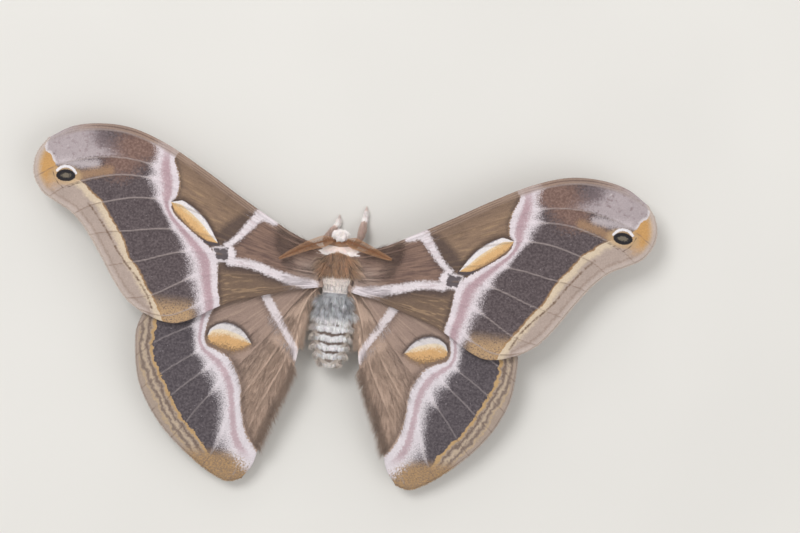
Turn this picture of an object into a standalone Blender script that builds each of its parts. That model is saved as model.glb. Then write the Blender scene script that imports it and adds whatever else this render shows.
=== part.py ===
"""Ailanthus silkmoth (Samia cynthia), life size, at rest with its wings spread.

All sizes below are in millimetres. The body frame has +X to the moth's right, +Y forwards and +Z up,
with the floor at Z = 0. A wing is drawn once as an outline, x outwards and y forwards, and each side
places it with its own small sweep. The whole moth is moved by FRAME_SHIFT, so that the origin is
under the middle of its bounding box.
"""

import math

import bmesh
import bpy
import numpy as np

MM = 0.001
GAP = 0.3
FRAME_SHIFT = (-0.215, 10.064)

# Wings: outline points, a closed patch of costa, outer margin, inner margin and root
FOREWING_COSTA = [(2.5, 3.2), (5.4, 4.2), (9.5, 5.7), (14.0, 8.1), (21.0, 12.0), (29.0, 16.7),
                  (37.0, 20.9), (44.0, 23.2), (50.0, 23.5), (56.0, 22.3), (60.4, 19.6)]
FOREWING_OUTER = [(60.4, 19.6), (62.4, 16.3), (62.6, 12.4), (60.6, 8.9), (57.5, 7.0), (54.3, 5.4),
                  (51.2, 2.6), (47.6, -2.2), (44.0, -7.5), (41.0, -11.0), (37.6, -13.3)]
FOREWING_INNER = [(37.6, -13.3), (34.2, -14.5), (31.0, -14.7), (27.6, -13.4), (24.2, -11.3),
                  (20.5, -9.3), (14.0, -7.2), (8.5, -5.5), (5.5, -4.9), (2.5, -4.3)]
HINDWING_COSTA = [(2.6, -0.8), (12.0, -1.6), (20.0, -3.2), (28.0, -5.6), (34.0, -8.4), (37.0, -11.5)]
HINDWING_OUTER = [(37.0, -11.5), (38.1, -15.0), (38.0, -19.5), (37.2, -24.5), (34.8, -29.8),
                  (31.2, -34.6), (26.5, -39.0), (21.8, -42.4), (18.2, -43.9), (15.4, -43.1)]
HINDWING_INNER = [(15.4, -43.1), (13.5, -40.3), (12.3, -35.8), (10.4, -30.2), (8.2, -24.5),
                  (6.3, -19.0), (5.7, -14.0), (5.2, -9.5), (4.4, -6.5), (2.6, -4.0)]

# Veins: place across the wing (0 costa, 1 inner margin) up to the cell's end, the same at the
# margin, and where along the wing (0 root, 1 margin) the ridge starts
FOREWING_VEINS = [(0.03, 0.03, 0.0), (0.13, 0.20, 0.0), (0.20, 0.31, 0.42), (0.33, 0.45, 0.46),
                  (0.53, 0.57, 0.42), (0.65, 0.73, 0.0), (0.79, 0.90, 0.30), (0.94, 0.97, 0.0)]
HINDWING_VEINS = [(0.06, 0.07, 0.0), (0.25, 0.20, 0.0), (0.40, 0.35, 0.38), (0.51, 0.46, 0.36),
                  (0.62, 0.61, 0.0), (0.77, 0.80, 0.30), (0.89, 0.94, 0.0)]
CELL_END = 0.6
VEIN_BEND = 1.3
VEIN_HEIGHT = 0.22
VEIN_HALF_WIDTH = 0.011
FIRST_ROW = 0.008
LAST_ROW = 0.99
LONGEST_ROW_STEP = 0.085
WING_COLUMNS = 17
COLUMN_SPACING = 0.9
WING_THICKNESS = 0.6
OUTLINE_SAMPLES = 300

# The spread of each wing: turn in degrees, turning point, shift outwards and size
WING_SPREAD = {
    "forewing_left": (1.04, (-9.0, 0.0), 0.0, 1.0),
    "forewing_right": (-1.04, (-9.0, 0.0), 0.0, 1.0),
    "hindwing_left": (-1.04, (-1.8, -5.0), 0.5, 1.012),
    "hindwing_right": (1.04, (-1.8, -5.0), -0.5, 0.99),
}

# Height of the sheet that the wings lie on, by distance from the midline
ROOT_HEIGHT = 7.9
WING_SPAN = 62.0
SPAN_RISE = 3.6
SPAN_DROOP = 5.0
COSTA_DROOP = 0.0032
COSTA_DROOP_START = 4.0
HINDWING_BELOW = 1.35
HINDWING_DROOP = 0.0026
HINDWING_DROOP_START = -4.0

# Body stations: y, half width, half height, height of the centre
THORAX = [(4.6, 1.75, 1.75, 6.2), (4.0, 2.9, 2.6, 6.3), (3.0, 3.9, 3.3, 6.3), (1.5, 4.7, 3.9, 6.3),
          (-0.5, 5.1, 4.15, 6.3), (-2.4, 4.8, 4.05, 6.3), (-4.0, 4.05, 3.7, 6.2), (-5.0, 3.3, 3.1, 6.1)]
HEAD = [(4.9, 1.55, 1.6, 6.2), (5.4, 1.8, 2.0, 6.2), (6.2, 1.85, 2.1, 6.15), (7.0, 1.6, 1.85, 6.05),
        (7.55, 1.05, 1.2, 5.95), (7.85, 0.35, 0.45, 5.9)]
ABDOMEN = [(-5.3, 3.3, 2.95, 6.1), (-7.0, 4.3, 3.75, 5.9), (-9.0, 4.75, 4.1, 5.7), (-12.0, 4.8, 4.15, 5.45),
           (-15.0, 4.4, 3.8, 5.2), (-17.5, 3.6, 3.1, 5.0), (-19.4, 2.3, 2.0, 4.9), (-20.4, 0.9, 0.8, 4.85)]
SEGMENT_ENDS = [-5.3, -7.7, -10.0, -12.3, -14.5, -16.5, -18.4, -20.4]
SEGMENT_PROFILE = [(0.0, 0.955), (0.35, 1.0), (0.8, 1.035), (0.96, 1.015)]
SIDE_TUFT = 0.045
SIDE_TUFT_SHARPNESS = 6
BODY_SIDES = 20
THORAX_RINGS = 14
HEAD_SIDES = 16
HEAD_RINGS = 11
ABDOMEN_SAMPLES = 120

EYE_CENTRE = (1.3, 6.0, 5.35)
EYE_RADII = (0.8, 0.9, 1.0)
EYE_RINGS = 8
EYE_SIDES = 14
PALP_PATH = [(0.55, 6.6, 4.9), (0.62, 7.7, 4.75), (0.5, 8.35, 5.2)]
PALP_RADII = (0.5, 0.5, 0.3)
PALP_RINGS = 5
PALP_SIDES = 6

# Antennae: rachis paths from inside the head, swept back over the wing bases
ANTENNA_LEFT = [(0.9, 5.5, 7.5), (1.6, 5.5, 8.9), (3.6, 4.9, 9.9), (6.0, 3.95, 10.2), (8.6, 2.6, 10.2),
                (11.8, 0.8, 9.9)]
ANTENNA_RIGHT = [(0.9, 5.5, 7.5), (1.7, 5.4, 8.9), (3.8, 4.9, 9.9), (6.0, 4.15, 10.2), (8.2, 3.4, 10.2),
                 (10.7, 2.6, 9.9)]
RACHIS_RADIUS = 0.36
RACHIS_TIP_RADIUS = 0.16
RACHIS_RINGS = 14
RACHIS_SIDES = 8
RACHIS_SAMPLES = 40
RAMUS_PAIRS = 11
FIRST_RAMUS = 0.24
LAST_RAMUS = 0.95
RAMUS_LENGTH = 1.3
COMB_FULL = 0.2
COMB_END = 1.02
COMB_TAPER = 0.6
RAMUS_ROOT_RADIUS = 0.27
RAMUS_TIP_RADIUS = 0.12
RAMUS_LEAN = 0.5
RAMUS_RISE = 0.25
RAMUS_BEND = 0.06
RAMUS_RINGS = 3
RAMUS_SIDES = 4

# Legs: centre line and radius, from inside the thorax to the claws
LEG_FRONT_RIGHT = [(1.7, 2.4, 4.2, 0.8), (2.4, 3.8, 2.4, 0.8), (3.7, 6.0, 2.8, 0.9), (4.15, 7.7, 2.2, 0.95),
                   (4.35, 9.4, 1.1, 0.8), (4.5, 10.3, 0.5, 0.65), (4.6, 11.9, 0.42, 0.6),
                   (4.6, 12.9, 0.22, 0.32)]
LEG_FRONT_LEFT = [(1.7, 2.4, 4.2, 0.8), (2.5, 3.8, 2.4, 0.8), (2.9, 5.6, 2.8, 0.9), (2.1, 6.8, 2.3, 0.9),
                  (1.5, 7.9, 1.2, 0.8), (1.05, 8.6, 0.55, 0.65), (0.8, 9.7, 0.42, 0.6),
                  (0.7, 10.7, 0.22, 0.32)]
LEG_MIDDLE = [(2.6, -0.2, 3.8, 0.85), (4.8, 0.9, 2.2, 0.8), (8.2, 2.5, 3.4, 0.8), (10.2, 3.4, 2.5, 0.8),
              (12.4, 4.4, 1.0, 0.65), (13.2, 4.8, 0.5, 0.6), (15.4, 5.7, 0.38, 0.55), (16.3, 6.1, 0.2, 0.3)]
LEG_HIND = [(2.4, -3.0, 3.8, 0.85), (4.6, -4.3, 2.2, 0.8), (7.9, -6.8, 3.2, 0.8), (9.6, -8.8, 2.4, 0.8),
            (11.5, -11.4, 1.0, 0.65), (12.1, -12.3, 0.5, 0.6), (13.6, -14.9, 0.38, 0.55),
            (14.1, -15.9, 0.2, 0.3)]
LEG_SIDES = 8
LEG_RINGS = 15

CURVE_STEPS = 24
WELD_DISTANCE = 0.002
SMOOTH_BELOW = 50.0


def clear_scene():
    for obj in list(bpy.data.objects):
        bpy.data.objects.remove(obj, do_unlink=True)


def make_material(name, colour, roughness):
    material = bpy.data.materials.new(name)
    material.use_nodes = True
    shader = material.node_tree.nodes["Principled BSDF"]
    shader.inputs["Base Color"].default_value = (*colour, 1.0)
    shader.inputs["Roughness"].default_value = roughness
    return material


def spline(points, count):
    """count points evenly spaced along a centripetal Catmull-Rom curve through the given points."""
    given = np.asarray(points, float)
    ends = np.vstack([2 * given[0] - given[1], given, 2 * given[-1] - given[-2]])
    dense = []
    for first in range(len(given) - 1):
        p0, p1, p2, p3 = ends[first:first + 4]
        gaps = [math.sqrt(np.linalg.norm(b - a)) for a, b in ((p0, p1), (p1, p2), (p2, p3))]
        knots = np.cumsum([0.0, *gaps])
        for t in np.linspace(knots[1], knots[2], CURVE_STEPS, endpoint=first == len(given) - 2):
            a1 = p0 + (p1 - p0) * (t - knots[0]) / (knots[1] - knots[0])
            a2 = p1 + (p2 - p1) * (t - knots[1]) / (knots[2] - knots[1])
            a3 = p2 + (p3 - p2) * (t - knots[2]) / (knots[3] - knots[2])
            b1 = a1 + (a2 - a1) * (t - knots[0]) / (knots[2] - knots[0])
            b2 = a2 + (a3 - a2) * (t - knots[1]) / (knots[3] - knots[1])
            dense.append(b1 + (b2 - b1) * (t - knots[1]) / (knots[2] - knots[1]))
    dense = np.array(dense)
    along = np.concatenate([[0.0], np.cumsum(np.linalg.norm(np.diff(dense, axis=0), axis=1))])
    wanted = np.linspace(0, along[-1], count)
    return np.stack([np.interp(wanted, along, dense[:, k]) for k in range(dense.shape[1])], axis=1)


def outline_patch(costa, outer, inner, u, v):
    """Points of the patch that the outline bounds, u from root to margin and v from costa to inner margin."""
    front = spline(costa, OUTLINE_SAMPLES)
    end = spline(outer, OUTLINE_SAMPLES)
    rear = spline(inner[::-1], OUTLINE_SAMPLES)
    root = np.linspace(front[0], rear[0], OUTLINE_SAMPLES)
    share = np.linspace(0, 1, OUTLINE_SAMPLES)

    def at(curve, t):
        return np.stack([np.interp(t, share, curve[:, k]) for k in range(2)], axis=-1)

    across, along = v[..., None], u[..., None]
    by_v = (1 - across) * at(front, u) + across * at(rear, u)
    by_u = (1 - along) * at(root, v) + along * at(end, v)
    corners = ((1 - along) * ((1 - across) * front[0] + across * rear[0])
               + along * ((1 - across) * front[-1] + across * rear[-1]))
    return by_v + by_u - corners


def wing_rows(veins):
    """Grid rows as (place at the cell's end, place at the margin, where its ridge starts or None)."""
    rows = [(0.0, 0.0, None)]
    for inner, outer, start in veins:
        rows.append((max(inner - VEIN_HALF_WIDTH, FIRST_ROW), max(outer - VEIN_HALF_WIDTH, FIRST_ROW), None))
        rows.append((inner, outer, start))
        rows.append((inner + VEIN_HALF_WIDTH, min(outer + VEIN_HALF_WIDTH, LAST_ROW), None))
    rows.append((1.0, 1.0, None))
    filled = [rows[0]]
    for row in rows[1:]:
        last = filled[-1]
        if row[0] - last[0] > LONGEST_ROW_STEP:
            filled.append(((last[0] + row[0]) / 2, (last[1] + row[1]) / 2, None))
        filled.append(row)
    return filled


def sheet_height(x, y, is_hindwing):
    """Height of a wing's middle surface over the floor."""
    share = x / WING_SPAN
    height = ROOT_HEIGHT + SPAN_RISE * share - SPAN_DROOP * share ** 2
    height -= COSTA_DROOP * np.maximum(y - COSTA_DROOP_START, 0) ** 2
    if is_hindwing:
        height -= HINDWING_BELOW + HINDWING_DROOP * np.maximum(HINDWING_DROOP_START - y, 0) ** 2
    return height


def spread(points, name):
    """Turns, shifts and sizes a wing's outline points for one side, x still outwards."""
    degrees, pivot, shift, size = WING_SPREAD[name]
    angle = math.radians(degrees)
    moved = (points - pivot) * size
    turned = np.stack([moved[..., 0] * math.cos(angle) - moved[..., 1] * math.sin(angle),
                       moved[..., 0] * math.sin(angle) + moved[..., 1] * math.cos(angle)], axis=-1)
    return turned + pivot + (shift, 0)


def new_object(name, points, faces, material=None):
    """A mesh object from body-frame points in millimetres, with its faces turned outwards."""
    mesh = bpy.data.meshes.new(name)
    moved = (np.asarray(points, float) + (*FRAME_SHIFT, 0.0)) * MM
    mesh.from_pydata([tuple(p) for p in moved], [], faces)
    shape = bmesh.new()
    shape.from_mesh(mesh)
    bmesh.ops.recalc_face_normals(shape, faces=shape.faces)
    shape.to_mesh(mesh)
    shape.free()
    obj = bpy.data.objects.new(name, mesh)
    bpy.context.scene.collection.objects.link(obj)
    if material:
        mesh.materials.append(material)
    return obj


def wing_mesh(name, outline, veins):
    """Points and faces of a thin closed wing, split into triangles alike on both faces."""
    rows = wing_rows(veins)
    is_hindwing = name.startswith("hindwing")
    u = np.linspace(0, 1, WING_COLUMNS + 1) ** COLUMN_SPACING
    past_cell = np.clip((u - CELL_END) / (1 - CELL_END), 0, 1) ** VEIN_BEND
    v = np.array([row[0] + (row[1] - row[0]) * past_cell for row in rows])
    raised = [[start is not None and start <= place < 1 for place in u] for _, _, start in rows]
    ridge = VEIN_HEIGHT * np.array(raised, float)
    flat = spread(outline_patch(*outline, np.broadcast_to(u, v.shape), v), name)
    middle = sheet_height(flat[..., 0], flat[..., 1], is_hindwing)
    side = -1 if name.endswith("left") else 1
    top = np.dstack([flat[..., 0] * side, flat[..., 1], middle + WING_THICKNESS / 2 + ridge])
    bottom = np.dstack([flat[..., 0] * side, flat[..., 1], middle - WING_THICKNESS / 2])
    points = np.concatenate([top.reshape(-1, 3), bottom.reshape(-1, 3)])
    count_v, count_u = v.shape
    under = count_v * count_u
    faces = []
    for j in range(count_v - 1):
        for i in range(count_u - 1):
            a, b = j * count_u + i, j * count_u + i + 1
            c, d = a + count_u, b + count_u
            faces += [(a, b, d), (a, d, c)]
            faces += [(a + under, d + under, b + under), (a + under, c + under, d + under)]
    rim = ([i for i in range(count_u)] + [j * count_u + count_u - 1 for j in range(1, count_v)]
           + [(count_v - 1) * count_u + i for i in range(count_u - 2, -1, -1)]
           + [j * count_u for j in range(count_v - 2, 0, -1)])
    for a, b in zip(rim, rim[1:] + rim[:1]):
        faces += [(a, b, b + under), (a, b + under, a + under)]
    return points, faces


def ring_faces(rings, sides):
    """Quads between rings of equal size, with a cap on each end."""
    faces = [tuple(range(sides))[::-1], tuple(range((rings - 1) * sides, rings * sides))]
    for ring in range(rings - 1):
        for k in range(sides):
            a, b = ring * sides + k, ring * sides + (k + 1) % sides
            faces.append((a, b, b + sides, a + sides))
    return faces


def body_loft(stations, sides, extra=0.0, bump=None):
    """A closed body of ellipses across the Y axis. extra swells it, for the cutter of a neighbour."""
    angles = np.arange(sides) * 2 * math.pi / sides
    points = []
    for index, (y, half_width, half_height, centre) in enumerate(stations):
        if extra and index == 0:
            y += extra
        if extra and index == len(stations) - 1:
            y -= extra
        swelling = 1 + (bump(angles) if bump else np.zeros(sides))
        for angle, swell in zip(angles, swelling):
            points.append(((half_width + extra) * math.cos(angle) * swell, y,
                           centre + (half_height + extra) * math.sin(angle) * swell))
    return points, ring_faces(len(stations), sides)


def smooth_stations(stations, count):
    return [tuple(s) for s in spline(stations, count)]


def abdomen_stations():
    """The abdomen's rings, each segment widening to its rear edge and stepping in under it."""
    dense = np.array(smooth_stations(ABDOMEN, ABDOMEN_SAMPLES))[::-1]
    rings = []
    for front, rear in zip(SEGMENT_ENDS, SEGMENT_ENDS[1:]):
        for share, scale in SEGMENT_PROFILE:
            y = front + (rear - front) * share
            width, height, centre = (np.interp(y, dense[:, 0], dense[:, k]) for k in (1, 2, 3))
            rings.append((y, width * scale, height * scale, centre))
    rings[0] = ABDOMEN[0]
    rings.append(ABDOMEN[-1])
    return rings


def side_tufts(angles):
    """Swelling of the scale tufts along each side of the abdomen."""
    return SIDE_TUFT * np.abs(np.cos(angles)) ** SIDE_TUFT_SHARPNESS


def tube(path, radii, sides, flat_floor=False):
    """A closed tube along a path. With flat_floor, what would reach below the floor is pressed flat on it."""
    path = np.asarray(path, float)
    normal = np.array([0.0, 0.0, 1.0])
    points = []
    for index, centre in enumerate(path):
        ahead = path[min(index + 1, len(path) - 1)] - path[max(index - 1, 0)]
        ahead /= np.linalg.norm(ahead)
        across = np.cross(ahead, normal)
        across /= np.linalg.norm(across)
        up = np.cross(across, ahead)
        for k in range(sides):
            angle = 2 * math.pi * (k + 0.5) / sides
            point = centre + radii[index] * (math.cos(angle) * across + math.sin(angle) * up)
            if flat_floor:
                point[2] = max(point[2], 0.0)
            points.append(point)
    return points, ring_faces(len(path), sides)


def ellipsoid(centre, radii, rings, sides):
    points = []
    for ring in range(1, rings):
        polar = math.pi * ring / rings
        points += [(centre[0] + radii[0] * math.sin(polar) * math.cos(2 * math.pi * k / sides),
                    centre[1] + radii[1] * math.cos(polar),
                    centre[2] + radii[2] * math.sin(polar) * math.sin(2 * math.pi * k / sides))
                   for k in range(sides)]
    first, last = len(points), len(points) + 1
    points += [(centre[0], centre[1] + radii[1], centre[2]), (centre[0], centre[1] - radii[1], centre[2])]
    faces = [f for f in ring_faces(rings - 1, sides) if len(f) == 4]
    faces += [(first, k, (k + 1) % sides) for k in range(sides)]
    base = (rings - 2) * sides
    faces += [(last, base + (k + 1) % sides, base + k) for k in range(sides)]
    return points, faces


def apply_modifiers(obj):
    graph = bpy.context.evaluated_depsgraph_get()
    made = bpy.data.meshes.new_from_object(obj.evaluated_get(graph), depsgraph=graph)
    obj.modifiers.clear()
    obj.data = made


def keep_largest(obj):
    """Drops every loose piece except the one with the most surface."""
    shape = bmesh.new()
    shape.from_mesh(obj.data)
    bmesh.ops.remove_doubles(shape, verts=shape.verts, dist=MM * WELD_DISTANCE)
    bmesh.ops.dissolve_degenerate(shape, edges=shape.edges, dist=MM * WELD_DISTANCE)
    bmesh.ops.triangulate(shape, faces=shape.faces)
    left, pieces = set(shape.faces), []
    while left:
        piece, front = set(), [left.pop()]
        while front:
            face = front.pop()
            piece.add(face)
            for edge in face.edges:
                for other in edge.link_faces:
                    if other in left:
                        left.remove(other)
                        front.append(other)
        pieces.append(piece)
    best = max(pieces, key=lambda piece: sum(face.calc_area() for face in piece))
    bmesh.ops.delete(shape, geom=[f for f in shape.faces if f not in best], context="FACES")
    bmesh.ops.recalc_face_normals(shape, faces=shape.faces)
    shape.to_mesh(obj.data)
    shape.free()


def cut_clear(obj, cutters):
    """Cuts obj back from the swollen copies of its neighbours, so that they meet with a thin gap."""
    for cutter in cutters:
        modifier = obj.modifiers.new("clear of " + cutter.name, "BOOLEAN")
        modifier.operation = "DIFFERENCE"
        modifier.object = cutter
    apply_modifiers(obj)
    keep_largest(obj)


def join_pieces(obj, pieces, solver="EXACT"):
    """Unites obj with closed pieces in one Boolean, then removes them."""
    group = bpy.data.collections.new(obj.name + "_pieces")
    bpy.context.scene.collection.children.link(group)
    for piece in pieces:
        bpy.context.scene.collection.objects.unlink(piece)
        group.objects.link(piece)
    modifier = obj.modifiers.new("join", "BOOLEAN")
    modifier.operation = "UNION"
    modifier.operand_type = "COLLECTION"
    modifier.collection = group
    modifier.solver = solver
    apply_modifiers(obj)
    for piece in pieces:
        bpy.data.objects.remove(piece, do_unlink=True)
    bpy.data.collections.remove(group)
    keep_largest(obj)


def shade_smooth(obj):
    obj.data.shade_smooth()
    obj.data.set_sharp_from_angle(angle=math.radians(SMOOTH_BELOW))


def mirrored(path, side):
    return [(side * p[0], *p[1:]) for p in path]


def make_cutter(name, points, faces):
    cutter = new_object(name, points, faces)
    cutter.hide_render = True
    cutter.display_type = "WIRE"
    return cutter


def make_cutters():
    """Swollen copies of the body, which its neighbours are cut by."""
    thorax = body_loft(smooth_stations(THORAX, THORAX_RINGS), BODY_SIDES * 2, GAP)
    abdomen = body_loft(abdomen_stations(), BODY_SIDES * 2, GAP, side_tufts)
    head = body_loft(smooth_stations(HEAD, HEAD_RINGS), HEAD_SIDES * 2, GAP)
    cutters = {
        "thorax": make_cutter("cutter_thorax", *thorax),
        "abdomen": make_cutter("cutter_abdomen", *abdomen),
        "head": make_cutter("cutter_head", *head),
    }
    for side, sign in (("left", -1), ("right", 1)):
        centre = (sign * EYE_CENTRE[0], *EYE_CENTRE[1:])
        radii = tuple(r + GAP for r in EYE_RADII)
        shape = ellipsoid(centre, radii, EYE_RINGS, EYE_SIDES * 2)
        cutters["eye_" + side] = make_cutter("cutter_eye_" + side, *shape)
    return cutters


def make_body(materials):
    thorax = body_loft(smooth_stations(THORAX, THORAX_RINGS), BODY_SIDES)
    abdomen = body_loft(abdomen_stations(), BODY_SIDES, 0.0, side_tufts)
    return [new_object("thorax", *thorax, materials["fur"]),
            new_object("abdomen", *abdomen, materials["abdomen"])]


def make_head(materials, cutters):
    """Head with two short palps, hollowed for the eyes, and the eyes in their sockets."""
    head = new_object("head", *body_loft(smooth_stations(HEAD, HEAD_RINGS), HEAD_SIDES), materials["head"])
    palps = []
    for sign in (-1, 1):
        path = spline(mirrored(PALP_PATH, sign), PALP_RINGS)
        radii = np.interp(np.linspace(0, 1, PALP_RINGS), np.linspace(0, 1, len(PALP_RADII)), PALP_RADII)
        palps.append(new_object("palp", *tube(path, radii, PALP_SIDES)))
    join_pieces(head, palps)
    cut_clear(head, [cutters["eye_left"], cutters["eye_right"]])
    eyes = []
    for side, sign in (("left", -1), ("right", 1)):
        centre = (sign * EYE_CENTRE[0], *EYE_CENTRE[1:])
        shape = ellipsoid(centre, EYE_RADII, EYE_RINGS, EYE_SIDES)
        eyes.append(new_object("eye_" + side, *shape, materials["eye"]))
    return [head, *eyes]


def make_antenna(name, path, material, head_cutter):
    """A rachis with a comb of tapered rami along both edges."""
    side = -1 if name.endswith("left") else 1
    line = spline(mirrored(path, side), RACHIS_SAMPLES)
    rachis_line = spline(mirrored(path, side), RACHIS_RINGS)
    radii = np.linspace(RACHIS_RADIUS, RACHIS_TIP_RADIUS, RACHIS_RINGS)
    ramus_radii = np.linspace(RAMUS_ROOT_RADIUS, RAMUS_TIP_RADIUS, RAMUS_RINGS)
    antenna = new_object(name, *tube(rachis_line, radii, RACHIS_SIDES), material)
    rami = []
    for place in np.linspace(FIRST_RAMUS, LAST_RAMUS, RAMUS_PAIRS):
        index = place * (len(line) - 1)
        root = np.array([np.interp(index, range(len(line)), line[:, k]) for k in range(3)])
        ahead = line[min(int(index) + 1, len(line) - 1)] - line[int(index)]
        ahead /= np.linalg.norm(ahead)
        across = np.cross(ahead, (0, 0, 1))
        across /= np.linalg.norm(across)
        length = RAMUS_LENGTH * min(1.0, place / COMB_FULL) * (COMB_END - place) ** COMB_TAPER
        for edge in (-1, 1):
            tip = root + length * (edge * across + RAMUS_LEAN * ahead + RAMUS_RISE * np.array([0, 0, 1]))
            ramus = spline([root, (root + tip) / 2 + RAMUS_BEND * ahead, tip], RAMUS_RINGS)
            rami.append(new_object("ramus", *tube(ramus, ramus_radii, RAMUS_SIDES)))
    join_pieces(antenna, rami, "MANIFOLD")
    cut_clear(antenna, [head_cutter])
    return antenna


def make_wings(materials, cutters):
    outlines = {
        "forewing": ((FOREWING_COSTA, FOREWING_OUTER, FOREWING_INNER), FOREWING_VEINS),
        "hindwing": ((HINDWING_COSTA, HINDWING_OUTER, HINDWING_INNER), HINDWING_VEINS),
    }
    wings = []
    for name in WING_SPREAD:
        outline, veins = outlines[name.split("_")[0]]
        wing = new_object(name, *wing_mesh(name, outline, veins), materials["wing"])
        neighbours = [cutters["thorax"]] + ([cutters["abdomen"]] if name.startswith("hind") else [])
        cut_clear(wing, neighbours)
        wings.append(wing)
    return wings


def make_legs(materials, cutters):
    paths = {
        "leg_front_left": (LEG_FRONT_LEFT, -1),
        "leg_front_right": (LEG_FRONT_RIGHT, 1),
        "leg_middle_left": (LEG_MIDDLE, -1),
        "leg_middle_right": (LEG_MIDDLE, 1),
        "leg_hind_left": (LEG_HIND, -1),
        "leg_hind_right": (LEG_HIND, 1),
    }
    legs = []
    for name, (path, side) in paths.items():
        line = spline(mirrored(path, side), LEG_RINGS)
        leg = new_object(name, *tube(line[:, :3], line[:, 3], LEG_SIDES, flat_floor=True), materials["leg"])
        cut_clear(leg, [cutters["thorax"], cutters["abdomen"]])
        legs.append(leg)
    return legs


def main():
    clear_scene()
    materials = {
        "wing": make_material("wing scales", (0.24, 0.18, 0.15), 0.85),
        "fur": make_material("thorax fur", (0.22, 0.15, 0.1), 0.9),
        "abdomen": make_material("abdomen scales", (0.5, 0.48, 0.47), 0.9),
        "head": make_material("head fur", (0.72, 0.66, 0.62), 0.9),
        "antenna": make_material("antenna", (0.36, 0.2, 0.1), 0.7),
        "leg": make_material("leg scales", (0.5, 0.38, 0.32), 0.85),
        "eye": make_material("eye", (0.02, 0.015, 0.012), 0.2),
    }
    cutters = make_cutters()
    made = make_body(materials) + make_head(materials, cutters)
    made.append(make_antenna("antenna_left", ANTENNA_LEFT, materials["antenna"], cutters["head"]))
    made.append(make_antenna("antenna_right", ANTENNA_RIGHT, materials["antenna"], cutters["head"]))
    made += make_wings(materials, cutters)
    made += make_legs(materials, cutters)
    for obj in made:
        shade_smooth(obj)


main()
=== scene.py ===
"""Ailanthus silkmoth at rest: wing scales and markings, fur, feathered antennae, eyes, and the studio.

Sizes are in millimetres in the moth's body frame, +X to its right, +Y forwards and +Z up from the floor,
as in the part's own source. FRAME_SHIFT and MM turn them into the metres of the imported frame.
"""

import itertools
import math

import bpy
import numpy as np
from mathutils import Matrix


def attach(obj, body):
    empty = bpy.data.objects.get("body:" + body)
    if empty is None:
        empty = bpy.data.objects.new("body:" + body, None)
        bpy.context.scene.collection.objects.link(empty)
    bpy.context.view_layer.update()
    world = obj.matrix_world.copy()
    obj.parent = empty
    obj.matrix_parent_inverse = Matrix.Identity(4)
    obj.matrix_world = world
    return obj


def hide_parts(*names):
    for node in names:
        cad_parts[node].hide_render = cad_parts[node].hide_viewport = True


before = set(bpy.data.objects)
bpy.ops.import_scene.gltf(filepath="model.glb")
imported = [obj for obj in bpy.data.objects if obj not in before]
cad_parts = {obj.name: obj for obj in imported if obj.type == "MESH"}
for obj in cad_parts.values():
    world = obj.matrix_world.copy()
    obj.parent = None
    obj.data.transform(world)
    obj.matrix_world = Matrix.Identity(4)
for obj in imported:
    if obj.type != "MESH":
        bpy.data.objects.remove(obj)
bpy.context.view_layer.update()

MM = 0.001
FRAME_SHIFT = (-0.215, 10.064)
RANDOM = np.random.default_rng(11)

# Wing outlines: costa, outer margin and inner margin, x outwards and y forwards
FOREWING = (
    [(2.5, 3.2), (5.4, 4.2), (9.5, 5.7), (14.0, 8.1), (21.0, 12.0), (29.0, 16.7), (37.0, 20.9), (44.0, 23.2),
     (50.0, 23.5), (56.0, 22.3), (60.4, 19.6)],
    [(60.4, 19.6), (62.4, 16.3), (62.6, 12.4), (60.6, 8.9), (57.5, 7.0), (54.3, 5.4), (51.2, 2.6), (47.6, -2.2),
     (44.0, -7.5), (41.0, -11.0), (37.6, -13.3)],
    [(37.6, -13.3), (34.2, -14.5), (31.0, -14.7), (27.6, -13.4), (24.2, -11.3), (20.5, -9.3), (14.0, -7.2),
     (8.5, -5.5), (5.5, -4.9), (2.5, -4.3)])
HINDWING = (
    [(2.6, -0.8), (12.0, -1.6), (20.0, -3.2), (28.0, -5.6), (34.0, -8.4), (37.0, -11.5)],
    [(37.0, -11.5), (38.1, -15.0), (38.0, -19.5), (37.2, -24.5), (34.8, -29.8), (31.2, -34.6), (26.5, -39.0),
     (21.8, -42.4), (18.2, -43.9), (15.4, -43.1)],
    [(15.4, -43.1), (13.5, -40.3), (12.3, -35.8), (10.4, -30.2), (8.2, -24.5), (6.3, -19.0), (5.7, -14.0),
     (5.2, -9.5), (4.4, -6.5), (2.6, -4.0)])

# Veins: place across the wing at the cell's end and at the margin, and where along the wing they start
FOREWING_VEINS = [(0.03, 0.03, 0.0), (0.13, 0.20, 0.0), (0.20, 0.31, 0.42), (0.33, 0.45, 0.46),
                  (0.53, 0.57, 0.42), (0.65, 0.73, 0.0), (0.79, 0.90, 0.30), (0.94, 0.97, 0.0)]
HINDWING_VEINS = [(0.06, 0.07, 0.0), (0.25, 0.20, 0.0), (0.40, 0.35, 0.38), (0.51, 0.46, 0.36),
                  (0.62, 0.61, 0.0), (0.77, 0.80, 0.30), (0.89, 0.94, 0.0)]
CELL_END = 0.6

# The spread of each wing: turn in degrees, turning point, shift outwards and size
WING_SPREAD = {
    "forewing_left": (1.04, (-9.0, 0.0), 0.0, 1.0),
    "forewing_right": (-1.04, (-9.0, 0.0), 0.0, 1.0),
    "hindwing_left": (-1.04, (-1.8, -5.0), 0.5, 1.012),
    "hindwing_right": (1.04, (-1.8, -5.0), -0.5, 0.99),
}
ROOT_HEIGHT, WING_SPAN, SPAN_RISE, SPAN_DROOP = 7.9, 62.0, 3.6, 5.0
COSTA_DROOP, COSTA_DROOP_START = 0.0032, 4.0
HINDWING_BELOW, HINDWING_DROOP, HINDWING_DROOP_START = 1.35, 0.0026, -4.0

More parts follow.
